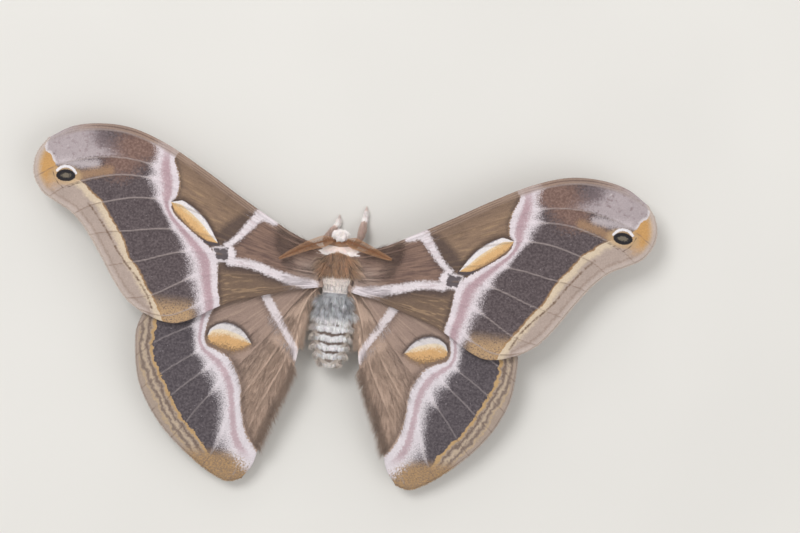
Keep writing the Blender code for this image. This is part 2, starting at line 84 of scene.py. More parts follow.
# Forewing markings, in the same millimetres as its outline, from the costa to the inner margin
F_BAND_NEAR = [(33.0, 20.2), (34.7, 18.1), (34.1, 16.4), (33.3, 14.2), (33.1, 12.3), (33.6, 10.0), (34.3, 8.9),
               (33.7, 7.2), (31.1, 5.0), (28.7, 3.3), (26.7, 1.9), (25.1, 0.7), (24.0, -1.0), (23.6, -2.8),
               (23.4, -4.8), (23.2, -7.0), (22.6, -8.9), (22.4, -12.0)]
F_BAND_FAR = [(38.4, 22.5), (38.7, 17.3), (39.0, 15.2), (38.8, 13.2), (38.2, 11.3), (37.2, 9.4), (34.8, 5.6),
              (31.9, 1.9), (30.2, -0.9), (29.3, -3.8), (28.0, -7.7), (26.2, -14.0)]
F_LUNULE_OUT = [(34.5, 9.3), (33.6, 7.5), (31.1, 5.2), (28.7, 3.5), (26.5, 2.3), (24.2, 2.1)]
F_LUNULE_IN = [(34.5, 9.3), (32.2, 9.9), (30.5, 9.1), (28.8, 8.0), (27.2, 6.6), (25.8, 4.8), (24.2, 2.1)]
F_DISCAL = [(24.8, 1.0), (22.1, 1.3), (21.9, -0.9), (24.3, -1.3)]
F_DISCAL_SMALL = [(27.0, 2.3), (25.6, 1.8), (24.2, 1.9)]
F_ARM_A = [(22.3, 1.9), (20.1, 4.0), (18.3, 6.3), (16.9, 8.0), (15.2, 9.0)]
F_ARM_B = [(21.4, -1.3), (19.0, -1.2), (16.0, -1.6), (13.0, -2.5), (9.5, -3.4), (6.0, -4.0), (4.4, -4.1)]
F_ARM_FRONT = [(16.9, 8.9), (13.4, 7.6)]
F_BASAL_FRONT = [(16.0, 9.6), (10.0, 7.5), (1.0, 4.5)]
F_TAN = [(61.8, 22.5), (61.0, 19.2), (60.9, 16.9), (59.8, 16.3), (58.9, 14.8), (57.6, 13.4), (55.4, 12.2),
         (53.4, 11.6), (52.0, 10.8), (50.5, 9.3), (48.7, 8.1), (46.3, 4.8), (43.8, 1.6), (41.5, -2.8),
         (39.9, -4.6), (37.4, -8.3), (35.1, -11.5), (33.0, -15.5)]
F_SPOT_CENTRE, F_SPOT_RADII, F_SPOT_CORE, F_SPOT_TURN = (56.2, 12.3), (2.0, 1.2), (1.0, 0.45), -0.05
F_SPOT_LINE = [(58.9, 12.8), (58.3, 11.4), (57.2, 10.3), (56.4, 9.7)]
F_SPOT_CURL = [(55.6, 9.9), (53.8, 10.9), (52.2, 11.4)]
F_APEX_EDGE = [(61.6, 21.5), (61.0, 19.2), (60.9, 16.9), (59.8, 16.4), (59.0, 15.0), (58.2, 14.4)]
F_NOTCH_CENTRE, F_NOTCH_RADII = (3.3, -2.3), (0.4, 1.0)
F_VERTEX = [(22.3, 1.8), (21.3, 0.4), (21.5, -1.1)]
F_DARK_CORNER = [(22.6, 2.4), (20.3, 4.9), (17.2, 8.6), (19.2, 8.2), (22.0, 6.0), (24.2, 3.6)]
F_TIP = (61.5, 16.5)

# Forewing markings along a line: the line, and how far its full colour reaches to each side
F_LINES = {
    "red": ([(35.5, 21.5), (42.5, 19.5), (45.5, 16.6)], 1.0),
    "apex_shade": ([(49.5, 20.6), (46.0, 19.6), (43.0, 18.4)], 0.4),
    "streak_white": ([(57.0, 15.0), (54.0, 15.0), (50.4, 15.2)], 0.35),
    "streak_ochre": ([(54.0, 12.2), (51.5, 13.2), (47.6, 14.2)], 0.5),
    "spot_arc": ([(58.1, 13.1), (57.2, 13.9), (55.9, 14.1), (54.9, 13.7), (54.2, 12.9)], 0.0),
    "line": ([(51.0, 7.2), (49.0, 5.1), (47.1, 2.7), (45.4, 0.4), (44.2, -1.5), (42.4, -3.7), (40.1, -6.0),
              (37.6, -9.2), (36.0, -12.2)], 0.0),
}

# Hindwing markings
H_BAND_NEAR = [(22.2, -6.5), (23.1, -9.6), (23.9, -11.6), (24.4, -13.7), (24.6, -15.7), (23.9, -17.2),
               (22.0, -17.9), (20.0, -19.0), (18.4, -20.8), (17.3, -22.8), (16.7, -25.3), (16.6, -27.7),
               (16.1, -30.7), (15.3, -33.6), (14.1, -35.8), (10.5, -40.0)]
H_BAND_FAR = [(26.8, -6.5), (26.8, -10.4), (26.8, -13.4), (26.8, -16.5), (26.2, -18.4), (24.9, -20.3),
              (22.4, -24.2), (20.9, -27.8), (20.4, -32.0), (20.3, -35.0), (19.2, -38.2), (16.8, -41.5),
              (13.0, -45.0)]
H_LUNULE_TOP = [(24.1, -15.3), (23.7, -13.9), (22.3, -12.8), (20.8, -12.4), (19.2, -12.6), (17.6, -13.4),
                (16.3, -14.7), (15.3, -16.3)]
H_LUNULE_LOW = [(24.1, -15.3), (23.9, -16.4), (21.6, -17.5), (18.8, -18.1), (16.9, -17.4), (15.3, -16.3)]
H_STRIPE = [(13.0, -6.8), (11.4, -9.3), (9.9, -11.6), (8.3, -14.1), (7.1, -16.0), (6.2, -18.6)]
H_FAN = (4.0, -2.0)
H_MARGIN = [(34.4, -9.0), (34.5, -15.0), (34.7, -18.0), (34.3, -20.4), (33.3, -22.6), (31.0, -26.8),
            (28.7, -31.0), (25.4, -34.8), (22.5, -38.6), (20.2, -41.0), (16.0, -43.6)]

# Body stations: y, half width, half height, height of the centre, out to the coat's tips
THORAX = [(4.6, 1.75, 1.75, 6.2), (4.0, 2.9, 2.6, 6.3), (3.0, 3.9, 3.3, 6.3), (1.5, 4.7, 3.9, 6.3),
          (-0.5, 5.1, 4.15, 6.3), (-2.4, 4.8, 4.05, 6.3), (-4.0, 4.05, 3.7, 6.2), (-5.0, 3.3, 3.1, 6.1)]
HEAD_PUFF = [(4.9, 0.75, 1.0, 6.2), (5.4, 0.85, 1.3, 6.2), (5.8, 1.3, 1.65, 6.2), (6.5, 1.55, 1.8, 6.15),
             (7.0, 1.35, 1.55, 6.1), (7.3, 0.9, 1.05, 6.0), (7.45, 0.35, 0.4, 5.95)]
ABDOMEN = [(-5.3, 3.3, 2.95, 6.1), (-7.0, 4.3, 3.75, 5.9), (-9.0, 4.75, 4.1, 5.7), (-12.0, 4.8, 4.15, 5.45),
           (-15.0, 4.4, 3.8, 5.2), (-17.5, 3.6, 3.1, 5.0), (-19.4, 2.3, 2.0, 4.9), (-20.4, 0.9, 0.8, 4.85)]
ABDOMEN_ROWS = [-5.3, -8.0, -10.8, -13.0, -14.85, -16.65, -18.4, -20.4]
THORAX_COAT, ABDOMEN_COAT, LEG_COAT = 1.1, 0.7, 0.25
EYE_CENTRE, EYE_RADII = (0.92, 6.2, 4.95), (0.55, 0.8, 0.85)

ANTENNA_LEFT = [(0.9, 5.5, 7.5), (1.6, 5.5, 8.9), (3.6, 4.9, 9.9), (6.0, 3.95, 10.2), (8.6, 2.6, 10.2),
                (11.8, 0.8, 9.9)]
ANTENNA_RIGHT = [(0.9, 5.5, 7.5), (1.7, 5.4, 8.9), (3.8, 4.9, 9.9), (6.0, 4.15, 10.2), (8.2, 3.4, 10.2),
                 (10.7, 2.6, 9.9)]

LEG_FRONT_RIGHT = [(1.7, 2.4, 4.2, 0.8), (2.4, 3.8, 2.4, 0.8), (3.7, 6.0, 2.8, 0.9), (4.15, 7.7, 2.2, 0.95),
                   (4.35, 9.4, 1.1, 0.8), (4.5, 10.3, 0.5, 0.65), (4.6, 11.9, 0.42, 0.6),
                   (4.6, 12.9, 0.22, 0.32)]
LEG_FRONT_LEFT = [(1.7, 2.4, 4.2, 0.8), (2.5, 3.8, 2.4, 0.8), (2.9, 5.6, 2.8, 0.9), (2.1, 6.8, 2.3, 0.9),
                  (1.5, 7.9, 1.2, 0.8), (1.05, 8.6, 0.55, 0.65), (0.8, 9.7, 0.42, 0.6),
                  (0.7, 10.7, 0.22, 0.32)]
LEG_MIDDLE = [(2.6, -0.2, 3.8, 0.85), (4.8, 0.9, 2.2, 0.8), (8.2, 2.5, 3.4, 0.8), (10.2, 3.4, 2.5, 0.8),
              (12.4, 4.4, 1.0, 0.65), (13.2, 4.8, 0.5, 0.6), (15.4, 5.7, 0.38, 0.55), (16.3, 6.1, 0.2, 0.3)]
LEG_HIND = [(2.4, -3.0, 3.8, 0.85), (4.6, -4.3, 2.2, 0.8), (7.9, -6.8, 3.2, 0.8), (9.6, -8.8, 2.4, 0.8),
            (11.5, -11.4, 1.0, 0.65), (12.1, -12.3, 0.5, 0.6), (13.6, -14.9, 0.38, 0.55),
            (14.1, -15.9, 0.2, 0.3)]
LEGS = [("leg_front_left", LEG_FRONT_LEFT, -1), ("leg_front_right", LEG_FRONT_RIGHT, 1),
        ("leg_middle_left", LEG_MIDDLE, -1), ("leg_middle_right", LEG_MIDDLE, 1),
        ("leg_hind_left", LEG_HIND, -1), ("leg_hind_right", LEG_HIND, 1)]

# Wing sheet: its faces' heights over and under its middle, its vein ridges, pleats and waves
WING_TOP, WING_BOTTOM = 0.25, -0.12
RIDGE_HEIGHT, RIDGE_WIDTH, PLEAT_DEPTH, WAVE_HEIGHT, WAVE_SIZE = 0.2, 0.2, 0.07, 0.06, 12.0
FAR_OFF = 9.0

# Coat, skin and antennae: tufts on a body part and a leg, how deep they root, and how fine the rest is
BODY_TUFTS, LEG_TUFTS = 19300, 1600
SKIN_VOXEL = 0.22
ANTENNA_SEGMENTS = 44
COAT_GAIN = 0.98
TUFT_SINK, FLOOR_GAP = 0.12, 0.03
BAKE_PATCH = 0.0015
HEAD_PARTING = (0.0, 6.5, 8.4)
UP = (0.0, 0.0, 1.0)
FLOOR_HALF, FLOOR_LEVEL = 3.0, -0.0002

# The photograph's view: straight down, turned so that the moth leans to the right
VIEW_CENTRE = (12.42, 1.45)
VIEW_WIDTH = 160.0
VIEW_LEAN = 5.3
CAMERA_HEIGHT = 480.0
WING_LEVEL = 8.0


# Curves and distances

def spline(points, count):
    """count points evenly spaced along a centripetal Catmull-Rom curve through the given points."""
    given = np.asarray(points, float)
    ends = np.vstack([2 * given[0] - given[1], given, 2 * given[-1] - given[-2]])
    dense = []
    for first in range(len(given) - 1):
        p0, p1, p2, p3 = ends[first:first + 4]
        knots = np.cumsum([0.0] + [math.sqrt(np.linalg.norm(b - a))
                                   for a, b in ((p0, p1), (p1, p2), (p2, p3))])
        for t in np.linspace(knots[1], knots[2], 24, endpoint=first == len(given) - 2):
            a1 = p0 + (p1 - p0) * (t - knots[0]) / (knots[1] - knots[0])
            a2 = p1 + (p2 - p1) * (t - knots[1]) / (knots[2] - knots[1])
            a3 = p2 + (p3 - p2) * (t - knots[2]) / (knots[3] - knots[2])
            b1 = a1 + (a2 - a1) * (t - knots[0]) / (knots[2] - knots[0])
            b2 = a2 + (a3 - a2) * (t - knots[1]) / (knots[3] - knots[1])
            dense.append(b1 + (b2 - b1) * (t - knots[1]) / (knots[2] - knots[1]))
    dense = np.array(dense)
    along = np.concatenate([[0.0], np.cumsum(np.linalg.norm(np.diff(dense, axis=0), axis=1))])
    wanted = np.linspace(0, along[-1], count)
    return np.stack([np.interp(wanted, along, dense[:, k]) for k in range(dense.shape[1])], axis=1)


def to_segments(points, line):
    """Nearest distance from each point to a polyline, the side it lies on and the place along the line."""
    best = np.full(len(points), 1e9)
    side = np.ones(len(points))
    place = np.zeros(len(points))
    count = len(line) - 1
    for k in range(count):
        start, step = line[k], line[k + 1] - line[k]
        share = (points - start) @ step / (step @ step)
        inside = np.clip(share, 0, 1)
        offset = points - start - inside[:, None] * step
        distance = np.hypot(offset[:, 0], offset[:, 1])
        nearer = distance < best
        turn = step[0] * (points[:, 1] - start[1]) - step[1] * (points[:, 0] - start[0])
        best = np.where(nearer, distance, best)
        side = np.where(nearer, np.sign(turn), side)
        place = np.where(nearer, (k + inside) / count, place)
    return best, side, place


def distance_to(points, curve, samples=48):
    return to_segments(points, spline(curve, samples))[0]


def side_distance(points, curve, samples=60):
    """Signed distance to a curve that runs from the costa to the inner margin: positive towards the tip."""
    line = spline(curve, samples)
    line = np.vstack([line[0] + (line[0] - line[1]) * 20, line, line[-1] + (line[-1] - line[-2]) * 20])
    distance, side, _ = to_segments(points, line)
    return distance * side


def shape_distance(points, outline):
    """Signed distance to a closed outline with straight sides, negative inside."""
    ring = np.vstack([outline, outline[:1]])
    distance = to_segments(points, ring)[0]
    inside = np.zeros(len(points), bool)
    x, y = points.T
    for a, b in zip(ring[:-1], ring[1:]):
        crosses = (a[1] > y) != (b[1] > y)
        if a[1] != b[1]:
            inside ^= crosses & (x < a[0] + (y - a[1]) * (b[0] - a[0]) / (b[1] - a[1]))
    return np.where(inside, -distance, distance)


def smooth_step(x, low, high):
    t = np.clip((x - low) / (high - low), 0, 1)
    return t * t * (3 - 2 * t)


def ripple(points, size, seed, octaves=3):
    """Smooth seeded noise from -1 to 1 at points, from a few sums of sines, with features of about size."""
    source = np.random.default_rng(seed)
    points = np.asarray(points, float)
    total, weight = np.zeros(len(points)), 0.0
    for octave in range(octaves):
        for _ in range(5):
            direction = source.normal(size=points.shape[1])
            direction /= np.linalg.norm(direction)
            frequency = 2 * math.pi / (size / 1.9 ** octave) * source.uniform(0.6, 1.3)
            total += np.sin(points @ direction * frequency + source.uniform(0, 6.28)) / 1.6 ** octave
        weight += 5 / 1.6 ** octave
    return total / weight * 2.2


# Meshes

def place_object(name, data, location=(0.0, 0.0, 0.0), turn=(0.0, 0.0, 0.0)):
    """A new object in the scene."""
    item = bpy.data.objects.new(name, data)
    item.location = location
    item.rotation_euler = turn
    bpy.context.scene.collection.objects.link(item)
    return item


def set_values(mesh, key, values):
    """A float or colour attribute with one value for each point."""
    values = np.asarray(values, np.float32)
    if values.ndim == 1:
        mesh.attributes.new(key, "FLOAT", "POINT").data.foreach_set("value", values)
    else:
        colour = np.column_stack([values, np.ones(len(values), np.float32)])
        mesh.attributes.new(key, "FLOAT_COLOR", "POINT").data.foreach_set("color", colour.ravel())


def new_piece(name, points, faces, material, attributes=None, bake_map=None, replaces=(), flat=False):
    """A mesh piece from body-frame millimetres, with float attributes for each point."""
    mesh = bpy.data.meshes.new(name)
    moved = (np.asarray(points, float) + (*FRAME_SHIFT, 0.0)) * MM
    if isinstance(faces, np.ndarray):
        mesh.vertices.add(len(moved))
        mesh.vertices.foreach_set("co", moved.ravel())
        mesh.loops.add(faces.size)
        mesh.loops.foreach_set("vertex_index", faces.ravel())
        mesh.polygons.add(len(faces))
        mesh.polygons.foreach_set("loop_start", np.arange(0, faces.size, faces.shape[1]))
        mesh.update(calc_edges=True)
    else:
        mesh.from_pydata([tuple(p) for p in moved], [], faces)
    for key, values in (attributes or {}).items():
        set_values(mesh, key, values)
    if bake_map is not None:
        layer = mesh.uv_layers.new(name="OFBake")
        corners = np.empty(len(mesh.loops), np.int32)
        mesh.loops.foreach_get("vertex_index", corners)
        layer.data.foreach_set("uv", np.asarray(bake_map, np.float32)[corners].ravel())
    if flat:
        mesh.shade_flat()
    else:
        mesh.shade_smooth()
    mesh.materials.append(material)
    piece = place_object(name, mesh)
    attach(piece, "root")
    if replaces:
        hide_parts(*replaces)
    return piece


def grid_faces(rows, columns, offset=0, flip=False):
    """Quads of a grid of points, as an array."""
    index = np.arange(rows * columns).reshape(rows, columns) + offset
    quads = np.stack([index[:-1, :-1], index[:-1, 1:], index[1:, 1:], index[1:, :-1]], axis=-1).reshape(-1, 4)
    return quads[:, ::-1] if flip else quads


def unit(vectors):
    return vectors / (np.linalg.norm(vectors, axis=-1, keepdims=True) + 1e-9)


def side_line(path, side, count):
    """A smooth line along a path, on the moth's right for side 1 and on its left for side -1."""
    line = spline(path, count)
    line[:, 0] *= side
    return line


def line_frames(line, reach=1):
    """Unit vectors ahead, across and up at each point of a line."""
    place, last = np.arange(len(line)), len(line) - 1
    ahead = unit(line[np.minimum(place + reach, last)] - line[np.maximum(place - reach, 0)])
    across = unit(np.cross(ahead, (0.0, 0.0, 1.0)))
    return ahead, across, np.cross(across, ahead)


def tube_points(line, radii, sides):
    """Rings of points around a line, ring after ring."""
    _, across, up = line_frames(line)
    angle = 2 * math.pi * np.arange(sides)[:, None] / sides
    ring = np.cos(angle) * across[:, None] + np.sin(angle) * up[:, None]
    return (line[:, None] + radii[:, None, None] * ring).reshape(-1, 3)


def tube_faces(rings, sides, base=0):
    """Quads between rings of points, with a cap at each end."""
    end = base + (rings - 1) * sides
    faces = [tuple(range(base, base + sides))[::-1], tuple(range(end, end + sides))]
    for ring, k in itertools.product(range(base, end, sides), range(sides)):
        a, b = ring + k, ring + (k + 1) % sides
        faces.append((a, b, b + sides, a + sides))
    return faces


def bake_places(*shares):
    """Places on the bake map from shares of its width and height."""
    return 0.02 + 0.96 * np.stack(shares, axis=-1)
# Materials

def linear(colour):
    """A colour from 0-255 display values to the linear values that shaders take."""
    share = np.asarray(colour, float) / 255
    return tuple(np.where(share <= 0.04045, share / 12.92, ((share + 0.055) / 1.055) ** 2.4))


class Paint:
    """Builds one material's nodes, layer by layer, from its attributes and noise."""

    def __init__(self, name, colour=None):
        self.material = bpy.data.materials.new(name)
        self.material.use_nodes = True
        self.nodes = self.material.node_tree.nodes
        self.links = self.material.node_tree.links
        self.shader = self.nodes["Principled BSDF"]
        self.place = self.nodes.new("ShaderNodeTexCoord").outputs["Object"]
        self.known = {}
        self.colour = colour

    def attribute(self, name, output="Fac"):
        if (name, output) not in self.known:
            node = self.nodes.new("ShaderNodeAttribute")
            node.attribute_name = name
            self.known[name, output] = node.outputs[output]
        return self.known[name, output]

    def connect(self, value, socket):
        """Sets a socket from another socket, an attribute's name, a display colour or a number."""
        if isinstance(value, str):
            value = self.attribute(value)
        if isinstance(value, bpy.types.NodeSocket):
            self.links.new(value, socket)
        else:
            socket.default_value = (*linear(value), 1.0) if isinstance(value, tuple) else value

    def math(self, operation, first, second=0.0):
        node = self.nodes.new("ShaderNodeMath")
        node.operation = operation
        self.connect(first, node.inputs[0])
        self.connect(second, node.inputs[1])
        return node.outputs[0]

    def product(self, first, *others):
        for other in others:
            first = self.math("MULTIPLY", first, other)
        return first

    def gap(self, value, middle):
        """How far a value is from the middle of a line."""
        return self.math("ABSOLUTE", self.math("SUBTRACT", value, middle))

    def noise(self, size_mm, detail=2.0, seed=0.0):
        """Noise from -1 to 1 with features of about size_mm."""
        key = (size_mm, detail, seed)
        if key not in self.known:
            mapping = self.nodes.new("ShaderNodeMapping")
            mapping.inputs["Location"].default_value = (seed, seed * 0.7, 0)
            self.links.new(self.place, mapping.inputs["Vector"])
            node = self.nodes.new("ShaderNodeTexNoise")
            node.inputs["Scale"].default_value = 1 / (size_mm * MM)
            node.inputs["Detail"].default_value = detail
            self.links.new(mapping.outputs[0], node.inputs["Vector"])
            self.known[key] = self.product(self.math("SUBTRACT", node.outputs["Fac"], 0.5), 4.0)
        return self.known[key]

    def rough(self, value, amount, size=0.35, seed=0.0):
        """A distance with its edge broken up by scales of the given size."""
        return self.math("ADD", value, self.product(self.noise(size, 2.0, seed), amount))

    def edge(self, value, low, high, amount=0.0, size=0.35, seed=0.0):
        """A smooth rise from 0 at low to 1 at high, broken up by an amount of scales of the given size."""
        if amount:
            value = self.rough(value, amount, size, seed)
        node = self.nodes.new("ShaderNodeMapRange")
        node.interpolation_type = "SMOOTHSTEP"
        self.connect(value, node.inputs["Value"])
        node.inputs["From Min"].default_value = min(low, high)
        node.inputs["From Max"].default_value = max(low, high)
        node.inputs["To Min"].default_value = 1.0 if low > high else 0.0
        node.inputs["To Max"].default_value = 0.0 if low > high else 1.0
        return node.outputs["Result"]

    def over(self, base, *layers):
        """A colour with layers over it. A layer is a colour, and shares whose product says how much shows."""
        for colour, *shares in layers:
            node = self.nodes.new("ShaderNodeMix")
            node.data_type = "RGBA"
            self.connect(self.product(*shares), node.inputs[0])
            self.connect(base, node.inputs[6])
            self.connect(colour, node.inputs[7])
            base = node.outputs[2]
        return base

    def paint(self, *layers):
        self.colour = self.over(self.colour, *layers)

    def vary(self, noise, amount):
        """Lightens and darkens what is there by noise."""
        node = self.nodes.new("ShaderNodeVectorMath")
        node.operation = "SCALE"
        self.connect(self.colour, node.inputs[0])
        self.connect(self.math("ADD", self.product(noise, amount), 1.0), node.inputs["Scale"])
        self.colour = node.outputs[0]

    def bump(self, height, distance_mm, strength):
        node = self.nodes.new("ShaderNodeBump")
        node.inputs["Distance"].default_value = distance_mm * MM
        node.inputs["Strength"].default_value = strength
        self.connect(height, node.inputs["Height"])
        return node.outputs[0]

    def finish(self, roughness, specular, sheen=0.0, normal=None):
        for value, socket in ((self.colour, "Base Color"), (roughness, "Roughness"), (sheen, "Sheen Weight"),
                              (specular, "Specular IOR Level")):
            self.connect(value, self.shader.inputs[socket])
        if normal is not None:
            self.links.new(normal, self.shader.inputs["Normal"])
        return self.material


def dark_field(p, dark, pale, flecks):
    """The powdery dark field outside the band."""
    return p.over(dark, (pale, p.edge(p.noise(0.45, 3.0, 0.1), -0.9, 1.1)),
                  (flecks, p.edge(p.noise(0.4, 1.0, 0.6), 0.75, 1.4)))


def wing_finish(p):
    """The plainer underside, and the powdery look of scales: fine speckle and soft relief."""
    p.paint(((158, 134, 118), p.edge("under", 0.4, 0.6), 0.5))
    p.vary(p.noise(0.22, 1.0), 0.085)
    p.vary(p.noise(0.5, 2.0, 0.3), 0.05)
    p.vary(p.noise(3.0, 3.0, 0.5), 0.05)
    return p.finish(0.8, 0.25, sheen=0.15, normal=p.bump(p.noise(0.25, 1.0, 0.9), 0.03, 0.5))


def forewing_material():
    """Markings of the forewing's upper face, from the root out."""
    p = Paint("forewing scales", (137, 113, 94))
    edge = p.edge
    fine = p.noise(0.3, 2.0, 0.1)

    # Brown field inside the band: darker and more olive towards the inner margin, streaked along the veins
    basal = edge("basal", 0.1, -0.4, 0.1)
    basal_brown = p.over((136, 110, 97), ((104, 83, 77), edge("streak", 1.2, -1.2)),
                         ((150, 126, 112), edge("reach", 14.0, 4.0), edge("streak", -0.8, 0.8)))
    p.paint(((114, 94, 80), edge("across", 0.4, 0.62)),
            ((170, 142, 112), edge("streak", 0.3, 1.5), 0.5),
            ((108, 88, 78), edge("streak", -0.3, -1.5), 0.45),
            ((100, 82, 74), edge("costa", 4.0, 1.0), 0.4),
            (basal_brown, basal),
            ((80, 66, 64), basal, edge("inner_shade", 1.3, 0.0, 0.4), 0.5),
            ((70, 58, 58), edge("shade", 2.2, 0.2, 0.25), edge("band", 0.02, -0.01), 0.75))

    # White V of the inner part, with the dark spot in it
    white = edge("white", 0.35, -0.4, 0.3, seed=0.2)
    p.paint(((174, 154, 144), "root_pale", edge("streak", -1.4, 0.6), 0.8),
            ((220, 211, 215), white),
            ((196, 180, 184), white, edge("streak", 0.2, 1.2), 0.6),
            ((80, 71, 74), edge("discal", 0.12, -0.15, 0.16, seed=0.2), 0.95),
            ((66, 54, 50), edge("notch", 0.1, -0.15, 0.1), 0.9))

    # Dark field outside the band, red at the front, lavender at the tip and ochre at the rear corner
    red = p.over((112, 87, 80), ((138, 112, 102), edge(p.noise(0.45, 3.0, 0.8), -0.6, 0.9)))
    lavender = p.over((170, 158, 161), ((124, 110, 113), edge("apex_shade", 2.4, 0.2, 0.9, 0.4, 0.1)),
                      ((140, 124, 126), edge(p.noise(0.9, 4.0, 0.45), 0.1, 1.0)),
                      ((198, 188, 190), edge(p.noise(0.7, 4.0, 0.35), 0.5, 1.2)))
    outer = p.over(dark_field(p, (74, 64, 67), (106, 95, 97), (152, 142, 145)),
                   (red, edge("red", 4.6, 0.6, 1.4, 0.5, 0.4)),
                   ((180, 149, 114), "tornus", edge(fine, -1.3, 0.3)),
                   (lavender, edge("apex", 13.5, 7.0, 0.9, 0.5, 0.2),
                    edge("front", 0.2, -0.5, 0.35, 0.4, 0.6)))

    # The band: white, pink, then white scales thinning out into the dark field
    band = p.over((218, 208, 213), ((176, 148, 155), edge("band", 0.2, 0.36, 0.05, seed=0.7),
                                    edge("band", 0.78, 0.5, 0.1, 0.3, 0.3), "pink"),
                  ((200, 186, 191), edge(fine, 0.2, 1.4)))
    p.paint((outer, edge("band", 0.5, 0.6)),
            (band, edge("band", 0.0, 0.06, 0.05, seed=0.7), edge("fade", 1.2, 0.66, 0.2, 0.22, 0.8)),
            ((196, 185, 188), edge("streak_white", 1.3, -0.2, 0.6, 0.25), 0.75),
            ((158, 126, 98), edge("streak_ochre", 1.1, -0.2, 0.5, 0.25), 0.8))

    # Lunule: dark halo, blue-grey and white rim, and yellow
    crescent = p.over((212, 171, 120), ((222, 196, 158), edge("lunule_q", 0.4, 0.64, 0.1)),
                      ((226, 220, 221), edge("lunule_q", 0.62, 0.7)),
                      ((142, 136, 142), edge("lunule_q", 0.9, 0.97, 0.03)),
                      ((160, 126, 90), edge("lunule_q", 0.24, 0.02, 0.1)))
    p.paint(((70, 56, 52), edge("lunule", 1.3, 0.05, 0.1), edge("lunule_q", 0.45, 0.8), 0.85),
            (crescent, edge("lunule", 0.03, -0.08, 0.03)))

    # Tan outer zone with its ochre inner edge and broken dark line
    zigzag = p.rough("tan", 0.2, 1.1, 0.5)
    tip_ochre = p.over((192, 148, 94), ((190, 164, 138), edge("margin", 1.9, 0.7, 0.3)))
    rear_line = edge(p.gap(p.rough("margin", 0.3, 0.8, 0.2), 1.2), 0.45, 0.0)
    zone = p.over((207, 189, 166), ((172, 155, 146), edge("tan", 0.7, 1.9, 0.3, 0.6)),
                  ((122, 101, 86), edge("line", 0.34, 0.0, 0.16, 0.5),
                   edge(p.noise(1.2, 3.0, 0.25), -0.9, 0.1)),
                  ((156, 138, 128), rear_line, edge(fine, -1.4, 0.6)),
                  (tip_ochre, edge("reach_tip", 7.0, 3.0, 0.5, 0.6)),
                  ((186, 171, 164), edge("margin", 1.2, 0.2)))
    p.paint(((168, 132, 92), edge(zigzag, -0.5, 0.05, 0.08, 0.3), "tan_edge", 0.85),
            ((222, 216, 218), edge("tan", -0.7, -0.1, 0.1, 0.3), "apex_edge", 0.7),
            (zone, edge(zigzag, -0.04, 0.12, 0.08, 0.3)))

    # Eyespot
    p.paint(((186, 156, 120), edge("spot", 1.2, 0.3, 0.15), 0.75),
            ((92, 76, 64), edge("spot_line", 0.16, 0.06), 0.75),
            ((228, 224, 228), edge("spot_arc", 0.34, 0.2, 0.06, 0.25)),
            ((36, 33, 36), edge("spot", 0.06, -0.08, 0.06, 0.25)),
            ((132, 122, 106), edge("spot_core", 0.15, -0.15, 0.16, 0.3), 0.7))

    # Costal strip, veins and the palest edge of the wing
    strip = p.over((158, 136, 122), ((112, 90, 80), edge("costa_lines", -0.2, 0.9)))
    p.paint((strip, edge("costa", 1.7, 0.9), "strip", edge("white", -0.2, 0.3)),
            ((166, 153, 150), edge("vein", 0.24, 0.07), edge("band", 0.9, 1.1), edge("tan", 0.1, -0.2), 0.6),
            ((132, 110, 96), edge("vein", 0.2, 0.06), edge("tan", -0.1, 0.3), 0.6),
            ((142, 118, 98), edge("vein", 0.3, 0.08), edge("band", 0.0, -0.05), edge("basal", 0.2, 1.0), 0.3),
            ((196, 180, 168), edge("margin", 0.35, 0.1), 0.6))
    return wing_finish(p)


